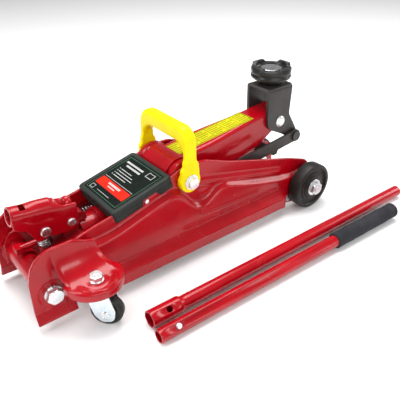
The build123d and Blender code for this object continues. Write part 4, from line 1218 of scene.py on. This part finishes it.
def socket_crown(along):
    """How far the shell's top stands off the round: it swells and then dips to the front."""
    return 1.8 * smooth((along - 16) / 18) * smooth((62 - along) / 12) - 11 * smooth((along - 42) / 16)


def cheek_pinch(share, along):
    """How far the cheeks are pinched in under the tube, behind the lug."""
    return 0.9 * smooth(1 - abs(share - 0.8) / 0.2) * smooth((along - 8) / 10) * smooth((50 - along) / 10)


def slot_cutter(name):
    """The slot across the socket's top, near its mouth."""
    outline = [(SLOT_REAR, 4.3), (SLOT_FRONT, 4.3), (SLOT_FRONT, 16), (SLOT_REAR, 16)]
    return prism(name, outline, -SLOT_HALF, SLOT_HALF, to_socket, *SOCKET_CUTTER, round_edge=0)


shell_rows = []
for step in range(60):
    along = SOCKET_LENGTH * step / 59
    row = []
    middle = to_socket(along, 0, 0)
    low = min(along_curve(CHEEK_LOW, middle.x), middle.z - 1)
    for rise in range(14):
        share = rise / 14
        point = to_socket(along, 0, SOCKET_OUTER)
        pinch = cheek_pinch(share, along)
        row.append((point.x, SOCKET_OUTER - pinch, low + (point.z - low) * share))
    for part in range(25):
        angle = pi * part / 24
        lift = SOCKET_OUTER * sin(angle) + socket_crown(along) * sin(angle) ** 3
        row.append(tuple(to_socket(along, lift, SOCKET_OUTER * cos(angle))))
    for rise in range(14):
        share = 1 - (rise + 1) / 14
        point = to_socket(along, 0, -SOCKET_OUTER)
        pinch = cheek_pinch(share, along)
        row.append((point.x, -SOCKET_OUTER + pinch, low + (point.z - low) * share))
    shell_rows.append(row)
socket = grid("socket_shell", shell_rows, *SOCKET_RED, sharp=60)
outward(socket, (0, 0, 1))
thicken(socket, 1.9)
cut(socket, slot_cutter("shell_cutter"))
tube = turned(
    "socket_tube", MOUTH, to_socket(1, 0, 0) - MOUTH,
    [
        (0, 8.6), (0, 10.2), (0.5, 10.7), (2.0, 10.7), (2.8, 10.35), (TUBE_LENGTH, 10.35),
        (TUBE_LENGTH, SOCKET_BORE), (0.3, SOCKET_BORE), (0, 8.6),
    ],
    *SOCKET_RED, steps=64, sharp=30,
)
cut(tube, slot_cutter("tube_cutter"))
nose_rows = []
for step in range(15):
    part = step / 14
    spread = sqrt(max(0.0, 1 - max(0.0, part - 0.35) ** 2 / 0.43))
    row = []
    for corner in range(40):
        turn = 2 * pi * corner / 40
        along = NOSE_MIDDLE + NOSE_ALONG * spread * cos(turn)
        row.append(to_socket(along, NOSE_LOW + NOSE_RISE * part, NOSE_ACROSS * spread * sin(turn)))
    nose_rows.append(row)
grid("socket_nose", nose_rows, *SOCKET_RED, closed=True, caps=True, sharp=60)
for label, point, radius in (("front", (-341.0, 88.8), 5), ("rear", (-371.0, 88.5), 6)):
    for side_name, hand in HANDS.items():
        turned(
            f"socket_rivet_{label}_{side_name}", (point[0], hand * SOCKET_OUTER, point[1]), (0, hand, 0),
            [
                (-1, 0.3), (-1, radius - 0.2), (0, radius), (1.2, radius - 0.1), (1.8, radius - 0.7),
                (2.1, radius - 1.8), (2.2, 0.4),
            ],
            ZINC, "handle_socket", "zinc_steel", ["socket_rivets"], steps=48,
        )

# -------------------------------------------------------------------- springs


def coil(name, start, way, length, radius, wire, turns, material, body, slot, hides, hook=0.0):
    """A coil spring; a hook runs on from its last turn as straight wire."""
    way, side, up = frame_axes(way)
    steps = int(turns * 20)
    centres = []
    for step in range(steps + 1):
        turn = 2 * pi * turns * step / steps
        along = length * step / steps
        centres.append(Vector(start) + way * along + (cos(turn) * side + sin(turn) * up) * radius)
    if hook:
        last = centres[-1]
        for step in range(1, 9):
            centres.append(last + way * hook * step / 8)
    rows = []
    for index, middle in enumerate(centres):
        before = centres[max(index - 1, 0)]
        after = centres[min(index + 1, len(centres) - 1)]
        ahead = (after - before).normalized()
        out = (middle - Vector(start)) - way * (middle - Vector(start)).dot(way)
        out = (out - ahead * out.dot(ahead)).normalized()
        across = ahead.cross(out)
        rows.append(
            [
                middle + (out * cos(pi * corner / 4) + across * sin(pi * corner / 4)) * wire
                for corner in range(8)
            ]
        )
    return grid(name, rows, material, body, slot, hides, closed=True, caps=True, sharp=70)


SPRING_REAR = -334.0
SPRING_FRONT = -257.0
SPRING_Y = 33.5
RAM_HEIGHT = 66.0
RAM_PIN = span("ram_head")[1].x - 3
for side_name, hand in HANDS.items():
    spring = coil(
        f"return_spring_{side_name}", (SPRING_REAR, hand * SPRING_Y, RAM_HEIGHT), (1, 0, 0),
        SPRING_FRONT - SPRING_REAR, 5.6, 0.95, 21.25, SPRING, "frame", "spring_steel",
        ["return_springs"], hook=RAM_PIN - 3.6 - SPRING_FRONT,
    )
    spring.parent = None
    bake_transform(spring)
plunger_low, plunger_high = span("pump_spring")
pump_coil = coil(
    "pump_return_spring", (centre("pump_spring").x, 0, plunger_low.z + 0.9), (0, 0, 1),
    plunger_high.z - plunger_low.z - 1.8, 6.6, 0.85, 4.5, SPRING, "frame", "spring_steel", ["pump_spring"],
)
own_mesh(pump_coil)

# ------------------------------------------------------------- floor and light


def backdrop(name, half, height):
    """A square studio floor round the origin, half its side each way, in metres."""
    mesh = bpy.data.meshes.new(name)
    corners = [(-half, -half, height), (half, -half, height), (half, half, height), (-half, half, height)]
    mesh.from_pydata(corners, [], [(0, 1, 2, 3)])
    mesh.materials.append(principled("studio_floor", (0.86, 0.86, 0.86), 0.7)[0])
    obj = bpy.data.objects.new(name, mesh)
    bpy.context.scene.collection.objects.link(obj)
    return obj


studio_floor = backdrop("studio_floor", 4, -0.0004)

world = bpy.data.worlds.new("studio")
world.use_nodes = True
sky = world.node_tree.nodes["Background"]
sky.inputs["Color"].default_value = (1, 1, 1, 1)
sky.inputs["Strength"].default_value = 0.32
bpy.context.scene.world = world
bpy.context.scene.view_settings.view_transform = "Standard"


def softbox(name, place_at, look_at, width, height, power):
    """A rectangular studio lamp that faces a point."""
    data = bpy.data.lights.new(name, "AREA")
    data.shape = "RECTANGLE"
    data.size = width
    data.size_y = height
    data.energy = power
    lamp = bpy.data.objects.new(name, data)
    lamp.location = place_at
    aim = Vector(look_at) - Vector(place_at)
    lamp.rotation_euler = aim.to_track_quat("-Z", "Y").to_euler()
    bpy.context.scene.collection.objects.link(lamp)


softbox("overhead", (0.1, 0.35, 1.5), (0, 0, 0.05), 1.5, 0.9, 34)
softbox("front_strip", (-0.3, -1.5, 0.9), (0, 0, 0.08), 1.6, 0.4, 15)
softbox("rear_strip", (-1.5, 0.3, 0.9), (0, 0, 0.08), 0.4, 1.2, 13)
softbox("right_fill", (1.5, -0.5, 0.8), (0, 0, 0.08), 0.7, 0.7, 9)

EYE = (-520.2, -460.5, 407.6)
RIGHT = Vector((0.7826, -0.6225, 0)).normalized()
FORWARD = Vector((0.5274, 0.6630, -0.5313)).normalized()
camera_data = bpy.data.cameras.new("camera")
camera_data.sensor_width = 36
camera_data.lens = 46.44
camera_data.clip_start = 0.01
camera = bpy.data.objects.new("camera", camera_data)
UP = RIGHT.cross(FORWARD)
axes = Matrix((RIGHT, UP, -FORWARD)).transposed()
camera.matrix_world = Matrix.Translation(place(EYE)) @ axes.to_4x4()
bpy.context.scene.collection.objects.link(camera)
bpy.context.scene.camera = camera
